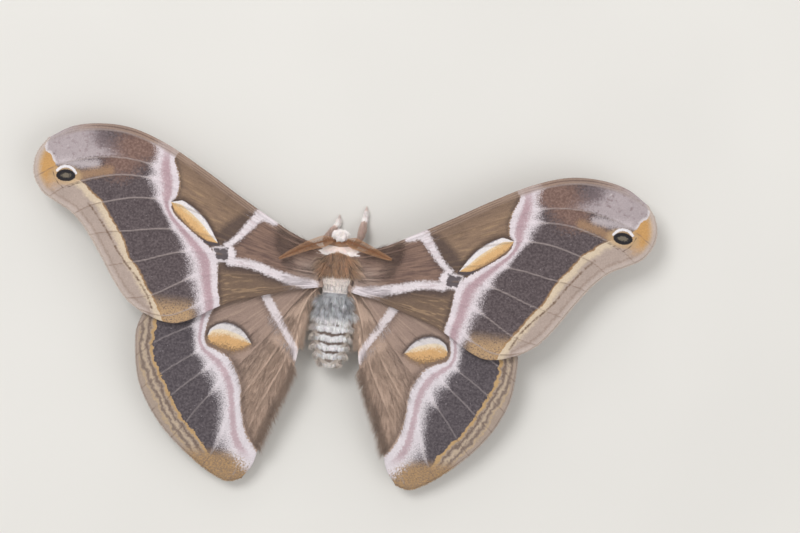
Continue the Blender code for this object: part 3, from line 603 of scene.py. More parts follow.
def hindwing_material():
    """Markings of the hindwing's upper face."""
    p = Paint("hindwing scales", (152, 130, 119))
    edge = p.edge

    # Brown field, pinkish tan towards the body, streaked by the long scales, and the dark field. Beside the
    # body the tan is made paler, partly the hair's own colour and partly painted light against the abdomen's
    # shade
    p.paint(((180, 155, 139), edge("across", 0.5, 0.8)),
            ((192, 167, 149), edge("streak", 0.3, 1.5), 0.3),
            ((128, 108, 98), edge("streak", -0.3, -1.5), 0.3),
            ((84, 70, 68), edge("shade", 2.6, 0.1, 0.3), edge("band", 0.02, -0.01), 0.6),
            # Partly painted light: pale tan hair beside the body, made paler to offset the abdomen's shade on
            # it
            ((228, 201, 181), "root_pale", edge("streak", -1.6, 0.3), 0.9),
            ((220, 210, 213), edge("white", 0.3, -0.35, 0.3, seed=0.2), 0.95),
            (dark_field(p, (72, 65, 70), (103, 95, 99), (154, 146, 150)), edge("band", 0.5, 0.6)))

    # The band: white, a thin pink, then white scales thinning out
    band = p.over((218, 210, 215), ((182, 156, 163), edge("band", 0.26, 0.4, 0.07, seed=0.7),
                                    edge("band", 0.68, 0.5, 0.1, 0.3, 0.3), "pink"))
    p.paint((band, edge("band", 0.0, 0.08, 0.07, seed=0.7), edge("fade", 1.25, 0.6, 0.26, 0.22, 0.8)))

    # Lunule: dark rim on top, grey, white, yellow and a soft lower edge
    crescent = p.over((206, 164, 114), ((224, 206, 180), edge("lunule_q", 0.45, 0.66, 0.07)),
                      ((212, 206, 207), edge("lunule_q", 0.66, 0.76)),
                      ((128, 122, 126), edge("lunule_q", 0.9, 0.97, 0.03)),
                      ((150, 120, 88), edge("lunule_q", 0.3, 0.05, 0.2)))
    soft_edge = p.math("ADD", "lunule", p.product(p.noise(0.3), edge("lunule_q", 0.6, 0.2), 0.4))
    p.paint(((74, 62, 60), edge("lunule", 0.9, 0.1, 0.15), edge("lunule_q", 0.3, 0.6), 0.85),
            ((128, 104, 84), edge("lunule", 1.1, 0.1, 0.3), edge("lunule_q", 0.6, 0.3), 0.7),
            (crescent, edge(soft_edge, 0.06, -0.1)))

    # Outer zone: a scalloped ochre edge, then tan-grey with dark waving lines
    scallops = p.rough("rim", 0.4, 1.3, 0.5)
    lines = [(colour, edge(p.gap(p.rough(scallops, 0.22, 0.4, middle), middle), half, 0.0), strength)
             for middle, half, colour, strength in (
                 (1.2, 0.5, (108, 91, 82), 0.85), (1.9, 0.4, (192, 172, 148), 0.7),
                 (2.55, 0.55, (112, 96, 87), 0.8), (3.2, 0.4, (186, 162, 130), 0.7))]
    zone = p.over((184, 152, 110), ((164, 147, 134), edge(scallops, 0.4, 0.9, 0.12, 0.3)), *lines,
                  ((166, 149, 138), edge("margin", 0.8, 0.2)))
    ochre = p.over((138, 116, 96), ((176, 142, 102), edge(p.noise(0.3, 2.0, 0.1), -0.8, 0.8)))
    p.paint((zone, edge(scallops, -0.05, 0.12, 0.12, 0.3)),
            (ochre, "tornus", edge("band", 0.5, 1.0, 0.3)),
            ((160, 150, 150), edge("vein", 0.24, 0.08), edge("band", 0.9, 1.1), edge("rim", 0.1, -0.2), 0.45),
            ((120, 102, 92), edge("vein", 0.2, 0.06), edge("rim", -0.1, 0.3), 0.6))
    return wing_finish(p)


def coat_material():
    """Hair and scale tufts in their own colours, darker at the root and paler at the tip."""
    p = Paint("coat")
    p.colour = p.attribute("coat", "Color")
    p.paint(((255, 255, 255), p.edge("along", 0.3, 1.0), 0.12))
    p.vary(p.edge("along", 0.4, -0.2), -0.18)
    p.vary(p.noise(0.8), 0.05)
    return p.finish(0.75, 0.3, sheen=0.3)


def skin_material():
    """What shows of the body between the tufts: the coat's colours, a little darker."""
    p = Paint("body skin")
    p.colour = p.attribute("coat", "Color")
    p.vary(p.noise(0.4), 0.12)
    return p.finish(0.9, 0.2, normal=p.bump(p.noise(0.3, 3.0), 0.12, 0.8))


def antenna_material():
    p = Paint("antenna horn", (124, 82, 52))
    p.paint(((182, 136, 98), p.edge("along", 0.1, 1.0)))
    p.vary(p.noise(0.35), 0.25)
    return p.finish(0.6, 0.4, sheen=0.2)


def eye_material():
    """Dark, glossy compound eye with fine facets."""
    p = Paint("eye facets", (26, 20, 18))
    cells = p.nodes.new("ShaderNodeTexVoronoi")
    cells.inputs["Scale"].default_value = 1 / (0.09 * MM)
    p.links.new(p.place, cells.inputs["Vector"])
    p.paint(((52, 38, 32), p.edge(p.noise(0.9), -0.5, 0.8)))
    facets = p.bump(p.product(cells.outputs["Distance"], -1.0), 0.02, 0.6)
    return p.finish(0.22, 0.6, normal=facets)


# Wings

def outline_patch(outline, u, v):
    """Points of the patch that an outline bounds: u from root to margin, v from costa to inner margin."""
    costa, outer, inner = outline
    front, end, rear = (spline(curve, 300) for curve in (costa, outer, inner[::-1]))
    share = np.linspace(0, 1, 300)

    def at(curve, t):
        return np.stack([np.interp(t, share, curve[:, k]) for k in range(2)], axis=-1)

    across, along = v[..., None], u[..., None]
    by_v = (1 - across) * at(front, u) + across * at(rear, u)
    by_u = (1 - along) * at(np.linspace(front[0], rear[0], 300), v) + along * at(end, v)
    corners = ((1 - along) * ((1 - across) * front[0] + across * rear[0])
               + along * ((1 - across) * front[-1] + across * rear[-1]))
    return by_v + by_u - corners


def nearest(points, lines):
    return np.minimum.reduce([to_segments(points, line)[0] for line in lines])


class Wing:
    """One of the four wings: its outline patch, veins and sheet, and its markings' fields and material."""

    def __init__(self, name, outline, veins, fields, material):
        self.name, self.outline, self.fields, self.material = name, outline, fields, material
        self.is_hindwing, self.is_left = name.startswith("hindwing"), name.endswith("left")
        self.veins = []
        for inner, outer, start in veins:
            u = np.linspace(max(start, 0.02), 1, 60)
            v = inner + (outer - inner) * np.clip((u - CELL_END) / (1 - CELL_END), 0, 1) ** 1.3
            self.veins.append(self.plan(u, v))

    def plan(self, u, v):
        return outline_patch(self.outline, u, v)

    def values(self, plan, u, v):
        return self.fields(plan, u, v, self.veins) | {"under": np.zeros(len(u))}

    def sheet(self, plan):
        """The middle of the wing's sheet in the body frame, turned, shifted and sized for its side."""
        degrees, pivot, shift, size = WING_SPREAD[self.name]
        angle = math.radians(degrees)
        x, y = ((plan - pivot) * size).T
        out = x * math.cos(angle) - y * math.sin(angle) + pivot[0] + shift
        ahead = x * math.sin(angle) + y * math.cos(angle) + pivot[1]
        share = out / WING_SPAN
        height = ROOT_HEIGHT + SPAN_RISE * share - SPAN_DROOP * share ** 2
        height -= COSTA_DROOP * np.maximum(ahead - COSTA_DROOP_START, 0) ** 2
        if self.is_hindwing:
            height -= HINDWING_BELOW + HINDWING_DROOP * np.maximum(HINDWING_DROOP_START - ahead, 0) ** 2
        return np.column_stack([-out if self.is_left else out, ahead, height])

    def top(self, plan, u):
        """The wing's upper face over points of its plan, with ridges and shallow pleats."""
        points = self.sheet(plan)
        gap = nearest(plan, self.veins)
        ridges = RIDGE_HEIGHT * np.exp(-(gap / RIDGE_WIDTH) ** 2) * smooth_step(u, 1.0, 0.9)
        pleats = -PLEAT_DEPTH * smooth_step(gap, 0.3, 1.8)
        waves = WAVE_HEIGHT * ripple(plan, WAVE_SIZE, 3 if self.is_hindwing else 4, 2)
        points[:, 2] += WING_TOP + ridges + pleats + waves
        return points


def ellipse_distance(points, centre, radii, turn=0.0):
    x, y = (points - centre).T
    across = (x * math.cos(turn) + y * math.sin(turn)) / radii[0]
    up = (y * math.cos(turn) - x * math.sin(turn)) / radii[1]
    return (np.hypot(across, up) - 1) * min(radii)


def streak_pattern(u, v, seed, levels):
    """Irregular streaks that run from the root to the margin, mostly from -1.5 to 1.5."""
    source = np.random.default_rng(seed)
    total = np.zeros(len(u))
    for rows, columns, weight in levels:
        grid = source.normal(0, 1, (rows + 1, columns + 1))
        along, across = np.clip(u, 0, 0.9999) * rows, np.clip(v, 0, 0.9999) * columns
        i, j = along.astype(int), across.astype(int)
        s, t = smooth_step(along - i, 0, 1), smooth_step(across - j, 0, 1)
        total += weight * ((grid[i, j] * (1 - t) + grid[i, j + 1] * t) * (1 - s)
                           + (grid[i + 1, j] * (1 - t) + grid[i + 1, j + 1] * t) * s)
    return total


def forewing_fields(points, u, v, veins):
    """The distances and shares that the forewing's markings are painted from."""
    x, y = points.T
    near, far = side_distance(points, F_BAND_NEAR), side_distance(points, F_BAND_FAR)
    lunule_out, lunule_in = distance_to(points, F_LUNULE_OUT), distance_to(points, F_LUNULE_IN)
    basal = shape_distance(points, [*F_ARM_A[::-1], (22.6, 0.2), *F_ARM_B, (1.0, -4.6), *F_BASAL_FRONT[::-1]])
    arm_a, _, place_a = to_segments(points, spline(F_ARM_A, 48))
    arm_b, _, place_b = to_segments(points, spline(F_ARM_B, 48))
    arm_a = arm_a - (0.5 + 0.6 * place_a)
    arm_b = arm_b - (0.8 + 0.2 * place_b)
    discal = shape_distance(points, F_DISCAL)
    vertex = np.minimum(distance_to(points, F_ARM_FRONT), distance_to(points, F_VERTEX)) - 0.8
    shade = np.minimum.reduce([arm_a + 0.25, arm_b + 0.6 * smooth_step(place_b, 0.1, 0.9),
                               shape_distance(points, F_DARK_CORNER) + 0.3])
    beside_band = np.where(near < 0, 0.5 - near * 1.6, FAR_OFF)
    vein, costa = nearest(points, veins), distance_to(points, FOREWING[0])
    front_distance, front_side, _ = to_segments(points, veins[1])
    streaks = streak_pattern(u, v, 5, ((9, 26, 0.5), (20, 70, 0.6), (40, 150, 0.7)))
    lines = {key: distance_to(points, curve) - reach for key, (curve, reach) in F_LINES.items()}
    return lines | {
        "band": near / (near - far),
        "fade": near / (near - far) - 0.35 * np.exp(-vein / 0.4),
        "pink": smooth_step(y, 22.0, 16.5) * 0.95,
        "tan": side_distance(points, F_TAN),
        "tan_edge": smooth_step(y, 12.5, 9.5),
        "apex": -side_distance(points, F_APEX_EDGE),
        "apex_edge": smooth_step(y, 14.0, 15.0),
        "front": -front_distance * front_side,
        "tornus": smooth_step(y, -8.6, -12.6) * smooth_step(x, 26.0, 29.0),
        "reach": x,
        "reach_tip": np.hypot(x - F_TIP[0], (y - F_TIP[1]) * 0.7),
        "basal": basal,
        "shade": np.minimum(np.where(basal > 0, shade, FAR_OFF), beside_band),
        "inner_shade": np.minimum(arm_a, discal) + 0.04 * np.maximum(22 - x, 0),
        "white": np.minimum.reduce([arm_a, arm_b, discal - 0.45, vertex]),
        "root_pale": smooth_step(x, 11.0, 5.0) * smooth_step(y, 2.0, -1.0),
        "notch": ellipse_distance(points, F_NOTCH_CENTRE, F_NOTCH_RADII),
        "discal": np.minimum(discal + 0.25 * ripple(points, 1.6, 21, 2),
                             distance_to(points, F_DISCAL_SMALL) - 0.35),
        "lunule": shape_distance(points, F_LUNULE_OUT + F_LUNULE_IN[-2:0:-1]),
        "lunule_q": lunule_out / (lunule_out + lunule_in + 1e-6),
        "spot": ellipse_distance(points, F_SPOT_CENTRE, F_SPOT_RADII, F_SPOT_TURN),
        "spot_core": ellipse_distance(points, F_SPOT_CENTRE, F_SPOT_CORE, F_SPOT_TURN),
        "spot_line": np.minimum(distance_to(points, F_SPOT_LINE), distance_to(points, F_SPOT_CURL)),
        "costa": costa,
        "costa_lines": np.sin(costa * 14 + 0.4 * np.sin(x)),
        "strip": 0.75 * smooth_step(x, 6, 12) * smooth_step(x, 60, 52),
        "margin": distance_to(points, FOREWING[1], 90),
        "vein": vein,
        "across": v,
        "streak": streaks * (0.4 + 0.6 * smooth_step(x, 8.0, 18.0)),
    }


def hindwing_fields(points, u, v, veins):
    """The distances and shares that the hindwing's markings are painted from."""
    x, y = points.T
    near, far = side_distance(points, H_BAND_NEAR), side_distance(points, H_BAND_FAR)
    low, top = distance_to(points, H_LUNULE_LOW), distance_to(points, H_LUNULE_TOP)
    stripe_gap, stripe_side, stripe_place = to_segments(points, spline(H_STRIPE, 40))
    white = stripe_gap - (0.9 - 0.35 * stripe_place)
    vein = nearest(points, veins)
    away, turn = np.hypot(x - H_FAN[0], y - H_FAN[1]), np.arctan2(H_FAN[1] - y, x - H_FAN[0])
    streaks = streak_pattern(away / 50, turn / 2 + 0.05, 8, ((4, 50, 0.45), (7, 120, 0.55), (12, 280, 0.7)))
    return {
        "band": near / (near - far),
        "fade": near / (near - far) - 0.4 * np.exp(-vein / 0.5),
        "pink": 0.85 * smooth_step(y, -40.0, -36.5),
        "rim": side_distance(points, H_MARGIN),
        "shade": np.minimum(np.where(near < 0, 0.4 - near * 1.3, FAR_OFF),
                            np.where(stripe_side > 0, white + 0.9, FAR_OFF)),
        "white": white,
        "lunule": shape_distance(points, H_LUNULE_TOP + H_LUNULE_LOW[-2:0:-1]),
        "lunule_q": low / (low + top + 1e-6),
        "margin": distance_to(points, HINDWING[1], 90),
        "vein": vein,
        # Pale tan beside the body: partly the hair's own colour, partly painted light against the abdomen's
        # shade
        "root_pale": smooth_step(v, 0.84, 0.96) * smooth_step(y, -19.0, -13.0),
        "tornus": smooth_step(y, -37.0, -40.0),
        "across": v,
        "streak": streaks + 0.3 * smooth_step(v, 0.9, 0.97),
    }


def make_wing(wing, rows, columns):
    """A closed skin for one wing, with its markings' fields on every point."""
    u, v = (grid.ravel() for grid in np.meshgrid(np.linspace(0, 1, columns) ** 0.95, np.linspace(0, 1, rows)))
    plan = wing.plan(u, v)
    top, bottom = wing.top(plan, u), wing.sheet(plan)
    bottom[:, 2] += WING_BOTTOM
    middle = (top[:, 2] + bottom[:, 2]) / 2
    close = smooth_step(np.minimum.reduce([u, 1 - u, v, 1 - v]) * 80, -0.5, 1.0)
    for face in (top, bottom):
        face[:, 2] = middle + (face[:, 2] - middle) * close
    count = rows * columns
    values = {key: np.tile(value, 2) for key, value in wing.values(plan, u, v).items()}
    values["under"][count:] = 1.0
    index = np.arange(count).reshape(rows, columns)
    rim = np.concatenate([index[0, :-1], index[:-1, -1], index[-1, :0:-1], index[:0:-1, 0]])
    after = np.roll(rim, -1)
    wall = np.stack([rim, after, after + count, rim + count], axis=1)
    faces = [grid_faces(rows, columns, 0, not wing.is_left), grid_faces(rows, columns, count, wing.is_left),
             wall[:, ::-1] if wing.is_left else wall]
    new_piece(wing.name + "_scales", np.concatenate([top, bottom]), np.concatenate(faces), wing.material,
              values, replaces=(wing.name,))

# Tufts

def make_tufts(name, material, roots, normals, lies, lengths, widths, lifts, values, bake, bend,
               depth=0.35):
    """Closed three-sided tapered tufts, each lifted off at its root and bent back to its lie."""
    count = len(roots)
    normals = unit(np.broadcast_to(normals, roots.shape))
    lies = unit(lies - normals * np.sum(lies * normals, axis=1, keepdims=True))
    lengths, widths, lifts = (np.broadcast_to(part, (count,))[:, None] for part in (lengths, widths, lifts))
    start = roots - normals * TUFT_SINK
    middle = start + (normals * np.sin(lifts) + lies * np.cos(lifts)) * lengths * 0.5
    tip = middle + (normals * np.sin(lifts * bend) + lies * np.cos(lifts * bend)) * lengths * 0.5
    across = np.cross(lies, normals)
    rings = [centre + widths * size * (math.cos(angle) * across + depth * math.sin(angle) * normals)
             for centre, size in ((start, 1.0), (middle, 0.8)) for angle in (0.0, 2.0944, 4.1888)]
    points = np.stack(rings + [tip], axis=1).reshape(-1, 3)
    points[:, 2] = np.maximum(points[:, 2], FLOOR_GAP)
    one = [(0, 2, 1)]
    for a, b in ((0, 1), (1, 2), (2, 0)):
        one += [(a, b, b + 3), (a, b + 3, a + 3), (a + 3, b + 3, 6)]
    faces = (np.array(one)[None] + 7 * np.arange(count)[:, None, None]).reshape(-1, 3)
    values = {key: np.repeat(value, 7, axis=0) for key, value in values.items()}
    values["along"] = np.tile([0, 0, 0, 0.5, 0.5, 0.5, 1.0], count)
    corner = np.array([(-1, -1), (1, -1), (0, 1), (-1, 0), (1, 0), (0, 0.6), (0, 0.2)]) * BAKE_PATCH
    bake = (bake[:, None] + corner[None]).reshape(-1, 2)
    new_piece(name, points, faces, material, values, bake, flat=depth < 0.5)


def varied(colours, lock=0.0, amount=0.16, warm=0.03):
    """Linear colours for tufts from display colours: lighter or darker by lock, warmer or cooler each."""
    base = np.stack([linear(c) for c in colours]) * COAT_GAIN
    light = 1 + RANDOM.normal(0, amount, len(base)) + 0.6 * lock
    tint = 1 + RANDOM.normal(0, warm, (len(base), 3))
    bright = np.maximum(base * light[:, None] * tint, 0.004)
    return bright * np.minimum(1, 0.95 / bright.max(axis=1, keepdims=True))


class Loft:
    """A body of ellipses across the Y axis, with points, normals and an unwrap from its stations."""

    def __init__(self, stations, inset=0.0):
        line = spline(stations, 160)
        self.stations = line[np.argsort(line[:, 0])]
        self.inset = inset
        self.low, self.high = self.stations[0, 0], self.stations[-1, 0]

    def at(self, y):
        width, height, centre = (np.interp(y, self.stations[:, 0], self.stations[:, k]) for k in (1, 2, 3))
        return np.maximum(width - self.inset, 0.15), np.maximum(height - self.inset, 0.15), centre

    def point(self, y, angle):
        width, height, centre = self.at(y)
        return np.stack([width * np.cos(angle), y, centre + height * np.sin(angle)], axis=-1)

    def normal(self, y, angle):
        step = 0.05
        along = self.point(y + step, angle) - self.point(y - step, angle)
        around = self.point(y, angle + step) - self.point(y, angle - step)
        return unit(np.cross(along, around))

    def scatter(self, count, low, high):
        """Seeded places on the loft, spread evenly by area."""
        y = RANDOM.uniform(low, high, count * 4)
        width, height, _ = self.at(y)
        y = y[RANDOM.uniform(0, 1, len(y)) < (width + height) / (width + height).max()][:count]
        return y, RANDOM.uniform(-math.pi, math.pi, len(y))

    def unwrap(self, y, angle):
        return bake_places(angle / (2 * math.pi) + 0.5, (y - self.low) / (self.high - self.low))


def layered(count, base, *layers):
    """Display colours: a base, and layers of a mask and a colour that paint over it in turn."""
    result = np.tile(np.array(base, float), (count, 1))
    for mask, colour in layers:
        share = np.clip(mask, 0, 1)[:, None]
        result = result * (1 - share) + np.array(colour, float) * share
    return result


def thorax_colour(y, angle):
    """The thorax coat: orange and white at the collar, olive-brown, then pale plates and a white rear."""
    wobble = 0.12 * np.sin(angle * 7) + 0.1 * np.sin(angle * 17 + 1)
    upper = smooth_step(np.sin(angle), -0.2, 0.3)
    side = np.abs(np.cos(angle))
    plates = upper * smooth_step(side, 0.86, 0.76)
    sutures = smooth_step(np.abs(side - 0.9), 0.14, 0.06) * smooth_step(y, -1.2, -1.6)
    return layered(
        len(y), (150, 113, 84),
        (smooth_step(side, 0.45, 0.85) * 0.8, (168, 149, 134)),
        (smooth_step(y, -1.0, -1.3) * plates, (246, 234, 227)),
        (sutures * smooth_step(y, -3.2, -2.8), (74, 62, 58)),
        (smooth_step(y, -2.6, -2.8) * smooth_step(y, -3.15, -3.0) * plates * 0.5, (156, 142, 134)),
        (smooth_step(y, -3.0, -3.3) * upper, (255, 246, 242)),
        (smooth_step(y, 3.2, 3.5), (172, 120, 76)),
        (smooth_step(y + wobble, 3.4, 3.55) * smooth_step(y + wobble, 4.35, 4.2) * upper, (255, 248, 242)),
        (smooth_step(y, 4.15, 4.3) * smooth_step(side, 0.5, 0.35) * upper, (246, 234, 226)),
        (1 - upper, (168, 142, 124)))


def abdomen_phase(y, angle):
    """How far along its row of scales each place is, from 0 to 1 at the rear edge, and the row's number."""
    bent = y - 0.5 * np.cos(angle) ** 2 + 0.1 * np.sin(angle * 6 + y) + 0.06 * np.sin(angle * 15 + 2 * y)
    ends = np.array(ABDOMEN_ROWS)
    index = np.clip(np.searchsorted(-ends, -bent, side="right") - 1, 0, len(ends) - 2)
    return np.clip((ends[index] - bent) / (ends[index] - ends[index + 1]), 0, 1), index


def abdomen_colour(y, angle):
    """The abdomen coat: mottled grey, then white rows with painted shade in the gaps under each row, and tan at
    the sides and the end.
    """
    phase, _ = abdomen_phase(y, angle)
    upper = smooth_step(np.sin(angle), 0.0, 0.35)
    side = np.abs(np.cos(angle))
    rows = smooth_step(y, -9.2, -10.0) * upper
    return layered(
        len(y), (166, 167, 171),
        (smooth_step(np.sin(2.3 * y) + np.sin(5 * angle + 2 * y), 0.2, 1.4) * 0.5, (116, 113, 115)),
        (rows, (228, 226, 228)),
        (rows * smooth_step(phase, 0.5, 0.9) * 0.25, (208, 202, 202)),
        # Painted shade: the front of each white row is darker where it lies under the row before it
        (rows * smooth_step(phase, 0.44, 0.3), (112, 98, 91)),
        (smooth_step(side, 0.78, 0.92) * (0.5 + 0.4 * rows), (190, 177, 167)),
        (smooth_step(np.abs(side - 0.8), 0.08, 0.03) * rows * 0.25, (134, 118, 107)),
        (smooth_step(y, -17.0, -19.5) * 0.4, (210, 196, 184)),
        (1 - upper, (206, 194, 184)))


def body_skin():
    """One skin for head, thorax, abdomen and legs, inside them by the coat's depth."""
    rings, tubes = 40, []
    thorax, abdomen, head = Loft(THORAX, THORAX_COAT), Loft(ABDOMEN, ABDOMEN_COAT), Loft(HEAD_PUFF)
    for loft, extra in ((thorax, 0.8), (abdomen, 0.8), (head, 0.0)):
        y = np.linspace(loft.low + 0.3, loft.high - 0.1, rings)
        y[-1] += extra
        angle = np.linspace(0, 2 * math.pi, 48, endpoint=False)
        tubes.append((loft.point(*np.meshgrid(y, angle, indexing="ij")).reshape(-1, 3), 48))
    for _, path, side in LEGS:
        line = side_line(path, side, rings)
        points = tube_points(line[:, :3], np.maximum(line[:, 3] - LEG_COAT, 0.12), 12)
        points[:, 2] = np.maximum(points[:, 2], 0.02)
        tubes.append((points, 12))
    faces, base = [], 0
    for points, sides in tubes:
        faces += tube_faces(rings, sides, base)
        base += len(points)
    skin = new_piece("body_skin", np.concatenate([points for points, _ in tubes]), faces, SKIN,
                     replaces=("head", "thorax", "abdomen", *(name for name, _, _ in LEGS)))
    remesh = skin.modifiers.new("one skin", "REMESH")
    remesh.mode = "VOXEL"
    remesh.voxel_size = SKIN_VOXEL * MM
    graph = bpy.context.evaluated_depsgraph_get()
    joined = bpy.data.meshes.new_from_object(skin.evaluated_get(graph), depsgraph=graph)
    skin.modifiers.clear()
    skin.data = joined
    if not joined.materials:
        joined.materials.append(SKIN)
    joined.shade_smooth()
    places = np.empty(len(joined.vertices) * 3)
    joined.vertices.foreach_get("co", places)
    places = places.reshape(-1, 3) / MM - (*FRAME_SHIFT, 0.0)
    set_values(joined, "coat", [linear(c) for c in skin_colour(places)])


def skin_colour(places):
    """The skin's display colours, by region, as the coat over it has."""
    x, y, z = places.T
    angle = np.arctan2(z - 6.0, x)
    colours = np.where((y > -5.1)[:, None], thorax_colour(y, angle), abdomen_colour(y, angle))
    head = (y > 4.7) & (np.abs(x) < 2.4) & (z > 3.6)
    colours[head] = (226, 214, 208)
    reach = np.where(y > 6, z < 3.6, (z < 2.6) | ((np.abs(x) > 4.9) & (z < 5)))
    colours[reach & (y > -5.1) | ((np.abs(x) > 5.3) & (z < 4.8))] = (164, 142, 130)
    colours[(y > 8.0) & (z < 1.3)] = (226, 214, 208)
    return colours


def loft_coat(name, loft, y, angle, colours, lengths, width, lifts, out, loose, bend, amount):
    """Tufts over a loft in locks as loose as said, lying backwards and, by out, to the sides."""
    n = len(y)
    roots = loft.point(y, angle)
    lock, swirl = loose * ripple(roots * (1, 0.5, 1), 0.9, 31, 2), loose * ripple(roots, 1.8, 32, 2)
    lies = np.column_stack([out * np.cos(angle) + 0.5 * swirl + RANDOM.normal(0, 0.16, n), -np.ones(n),
                            RANDOM.normal(0, 0.2, n)])
    lengths = lengths * RANDOM.uniform(0.8, 1.2, n) * (1 + 0.25 * lock)
    widths = width * RANDOM.uniform(0.7, 1.3, n)
    lifts = lifts * RANDOM.uniform(0.7, 1.3, n) * (1 + 0.5 * lock)
    make_tufts(name, COAT, roots, loft.normal(y, angle), lies, lengths, widths, lifts,
               {"coat": varied(colours, lock, amount)}, loft.unwrap(y, angle), bend)


def make_thorax_coat():
    loft = Loft(THORAX, THORAX_COAT)
    y, angle = loft.scatter(BODY_TUFTS, -4.7, 4.5)
    shoulder = (smooth_step(np.abs(np.cos(angle)), 0.4, 0.7) * smooth_step(y, 3.2, 2.4)
                * smooth_step(y, -1.4, -0.6))
    rear = smooth_step(y, -0.5, -1.2)
    lengths = (1.8 + 1.8 * shoulder - 0.9 * smooth_step(y, 2.8, 3.4) - 0.2 * smooth_step(y, 4.15, 4.3)
               - 0.8 * rear + 0.3 * smooth_step(y, -3.0, -3.3))
    lifts, out = 0.42 + 0.18 * shoulder - 0.22 * rear, 0.3 + 2.0 * shoulder - 0.25 * rear
    loose = 0.8 - 0.6 * rear - 0.4 * smooth_step(y, 3.2, 3.5)
    loft_coat("thorax_fur", loft, y, angle, thorax_colour(y, angle), lengths, 0.042, lifts, out,
              loose, bend=0.1, amount=0.4)


def make_collar():
    """The white ruff behind the head and the brown fur in front of it, which fan out over the wing bases."""
    loft = Loft(THORAX, THORAX_COAT)
    for name, count, half, low, high, level, reach, rear, front in (
            ("collar_fur", 6000, 1.9, 3.2, 4.2, 8.5, 1.7, (250, 240, 237), (232, 212, 203)),
            ("nape_fur", 3000, 1.2, 4.3, 5.3, 7.7, 0.9, (160, 118, 84), (148, 104, 70))):
        share, y = RANDOM.uniform(-1, 1, count), RANDOM.uniform(low, high, count)
        side = np.abs(share)
        roots = np.column_stack([half * share, y + 0.2 * side, level - 0.3 * side])
        lies = np.column_stack([2.4 * share, 0.5 * side - 1.1, np.zeros(count)])
        lies += RANDOM.normal(0, 0.13, (count, 3))
        lock = ripple(roots, 0.8, 51, 2)
        lengths = (0.6 + reach * side ** 0.7) * (1 + 0.15 * lock) * RANDOM.uniform(0.85, 1.1, count)
        coat = varied(layered(count, rear, (smooth_step(y, low + 0.6, high), front)), 0.3 * lock, 0.06)
        make_tufts(name, COAT, roots, UP, lies, lengths, RANDOM.uniform(0.05, 0.08, count), 0.2,
                   {"coat": coat}, loft.unwrap(y, math.pi / 2 - share), 0.3)


def make_abdomen_coat():
    loft = Loft(ABDOMEN, ABDOMEN_COAT)
    y, angle = loft.scatter(BODY_TUFTS, -20.1, -5.4)
    phase, index = abdomen_phase(y, angle)
    side = smooth_step(np.abs(np.cos(angle)), 0.75, 0.9) * smooth_step(np.abs(phase - 0.5), 0.5, 0.2)
    row = np.where(phase < 0.4, 0.3, np.clip(1.9 * (1 - phase) + 0.12, 0.3, 1.1))
    lengths = np.where(index < 2, 1.2, row) + 0.7 * side
    lifts = np.where(index < 2, 0.4, 0.15 + 0.35 * smooth_step(phase, 0.35, 0.55)) + 0.4 * side
    loft_coat("abdomen_fur", loft, y, angle, abdomen_colour(y, angle), lengths, 0.07, lifts,
              0.15 + side, np.where(y > -9.6, 0.9, 0.4), bend=0.3, amount=0.14)


def make_head_coat():
    """A round white puff that parts at its crown, open at the eyes."""
    loft = Loft(HEAD_PUFF)
    y, angle = loft.scatter(9500, 5.0, 7.44)
    roots = loft.point(y, angle)
    count = len(y)
    lumps = ripple(roots, 0.8, 41, 2)
    at_eye = np.hypot((y - EYE_CENTRE[1]) / EYE_RADII[1], (roots[:, 2] - EYE_CENTRE[2]) / EYE_RADII[2]) < 1
    lies = roots - HEAD_PARTING + RANDOM.normal(0, 0.25, (count, 3))
    lengths = np.where(at_eye, 0.1, 0.65 * (1 + 0.3 * lumps)) * RANDOM.uniform(0.8, 1.2, count)
    brown = smooth_step(y, 5.35, 5.15) * smooth_step(np.abs(np.cos(angle)), 0.4, 0.6)
    colours = layered(count, (246, 238, 236), (brown, (180, 128, 84)))
    make_tufts("head_fur", COAT, roots, loft.normal(y, angle), lies, lengths,
               RANDOM.uniform(0.06, 0.1, count), 0.6 + 0.25 * lumps,
               {"coat": varied(colours, 0.4 * lumps, 0.05)}, loft.unwrap(y, angle), 0.6)


def make_leg_coats():
    """Fur along each leg: full and pinkish brown on the long part, a white puff at the foot, a thin tip."""
    count, steps = LEG_TUFTS, 120
    for name, path, side in LEGS:
        line = side_line(path, side, steps)
        place = RANDOM.uniform(0.12, 1.0, count)
        index = place * (steps - 1)
        here = np.stack([np.interp(index, np.arange(steps), line[:, k]) for k in range(4)], axis=1)
        ahead, across, up = (part[index.astype(int)] for part in line_frames(line[:, :3]))
        angle = RANDOM.uniform(-0.5, math.pi + 0.5, count)
        normals = np.cos(angle)[:, None] * across + np.sin(angle)[:, None] * up
        roots = here[:, :3] + normals * (here[:, 3:] - LEG_COAT)
        roots[:, 2] = np.maximum(roots[:, 2], 0.12)
        foot = smooth_step(place, 0.67, 0.71) * smooth_step(place, 0.92, 0.89)
        colours = layered(count, (196, 168, 156), (smooth_step(place, 0.88, 0.92), (214, 196, 190)),
                          (foot, (255, 248, 246)))
        puff = (0.45 * np.sin(math.pi * np.clip((place - 0.67) / 0.24, 0, 1)) ** 0.7
                + 0.4 * np.sin(math.pi * np.clip((place - 0.34) / 0.36, 0, 1)) ** 0.7)
        make_tufts(name + "_fur", COAT, roots, normals, ahead + RANDOM.normal(0, 0.4, (count, 3)),
                   RANDOM.uniform(0.3, 0.5, count) * smooth_step(place, 1.1, 0.9) + puff,
                   RANDOM.uniform(0.05, 0.09, count), 0.25 + 0.45 * puff,
                   {"coat": varied(colours, 0.0, 0.06)},
                   bake_places(place, (angle + 0.5) / (math.pi + 1)), 0.9)


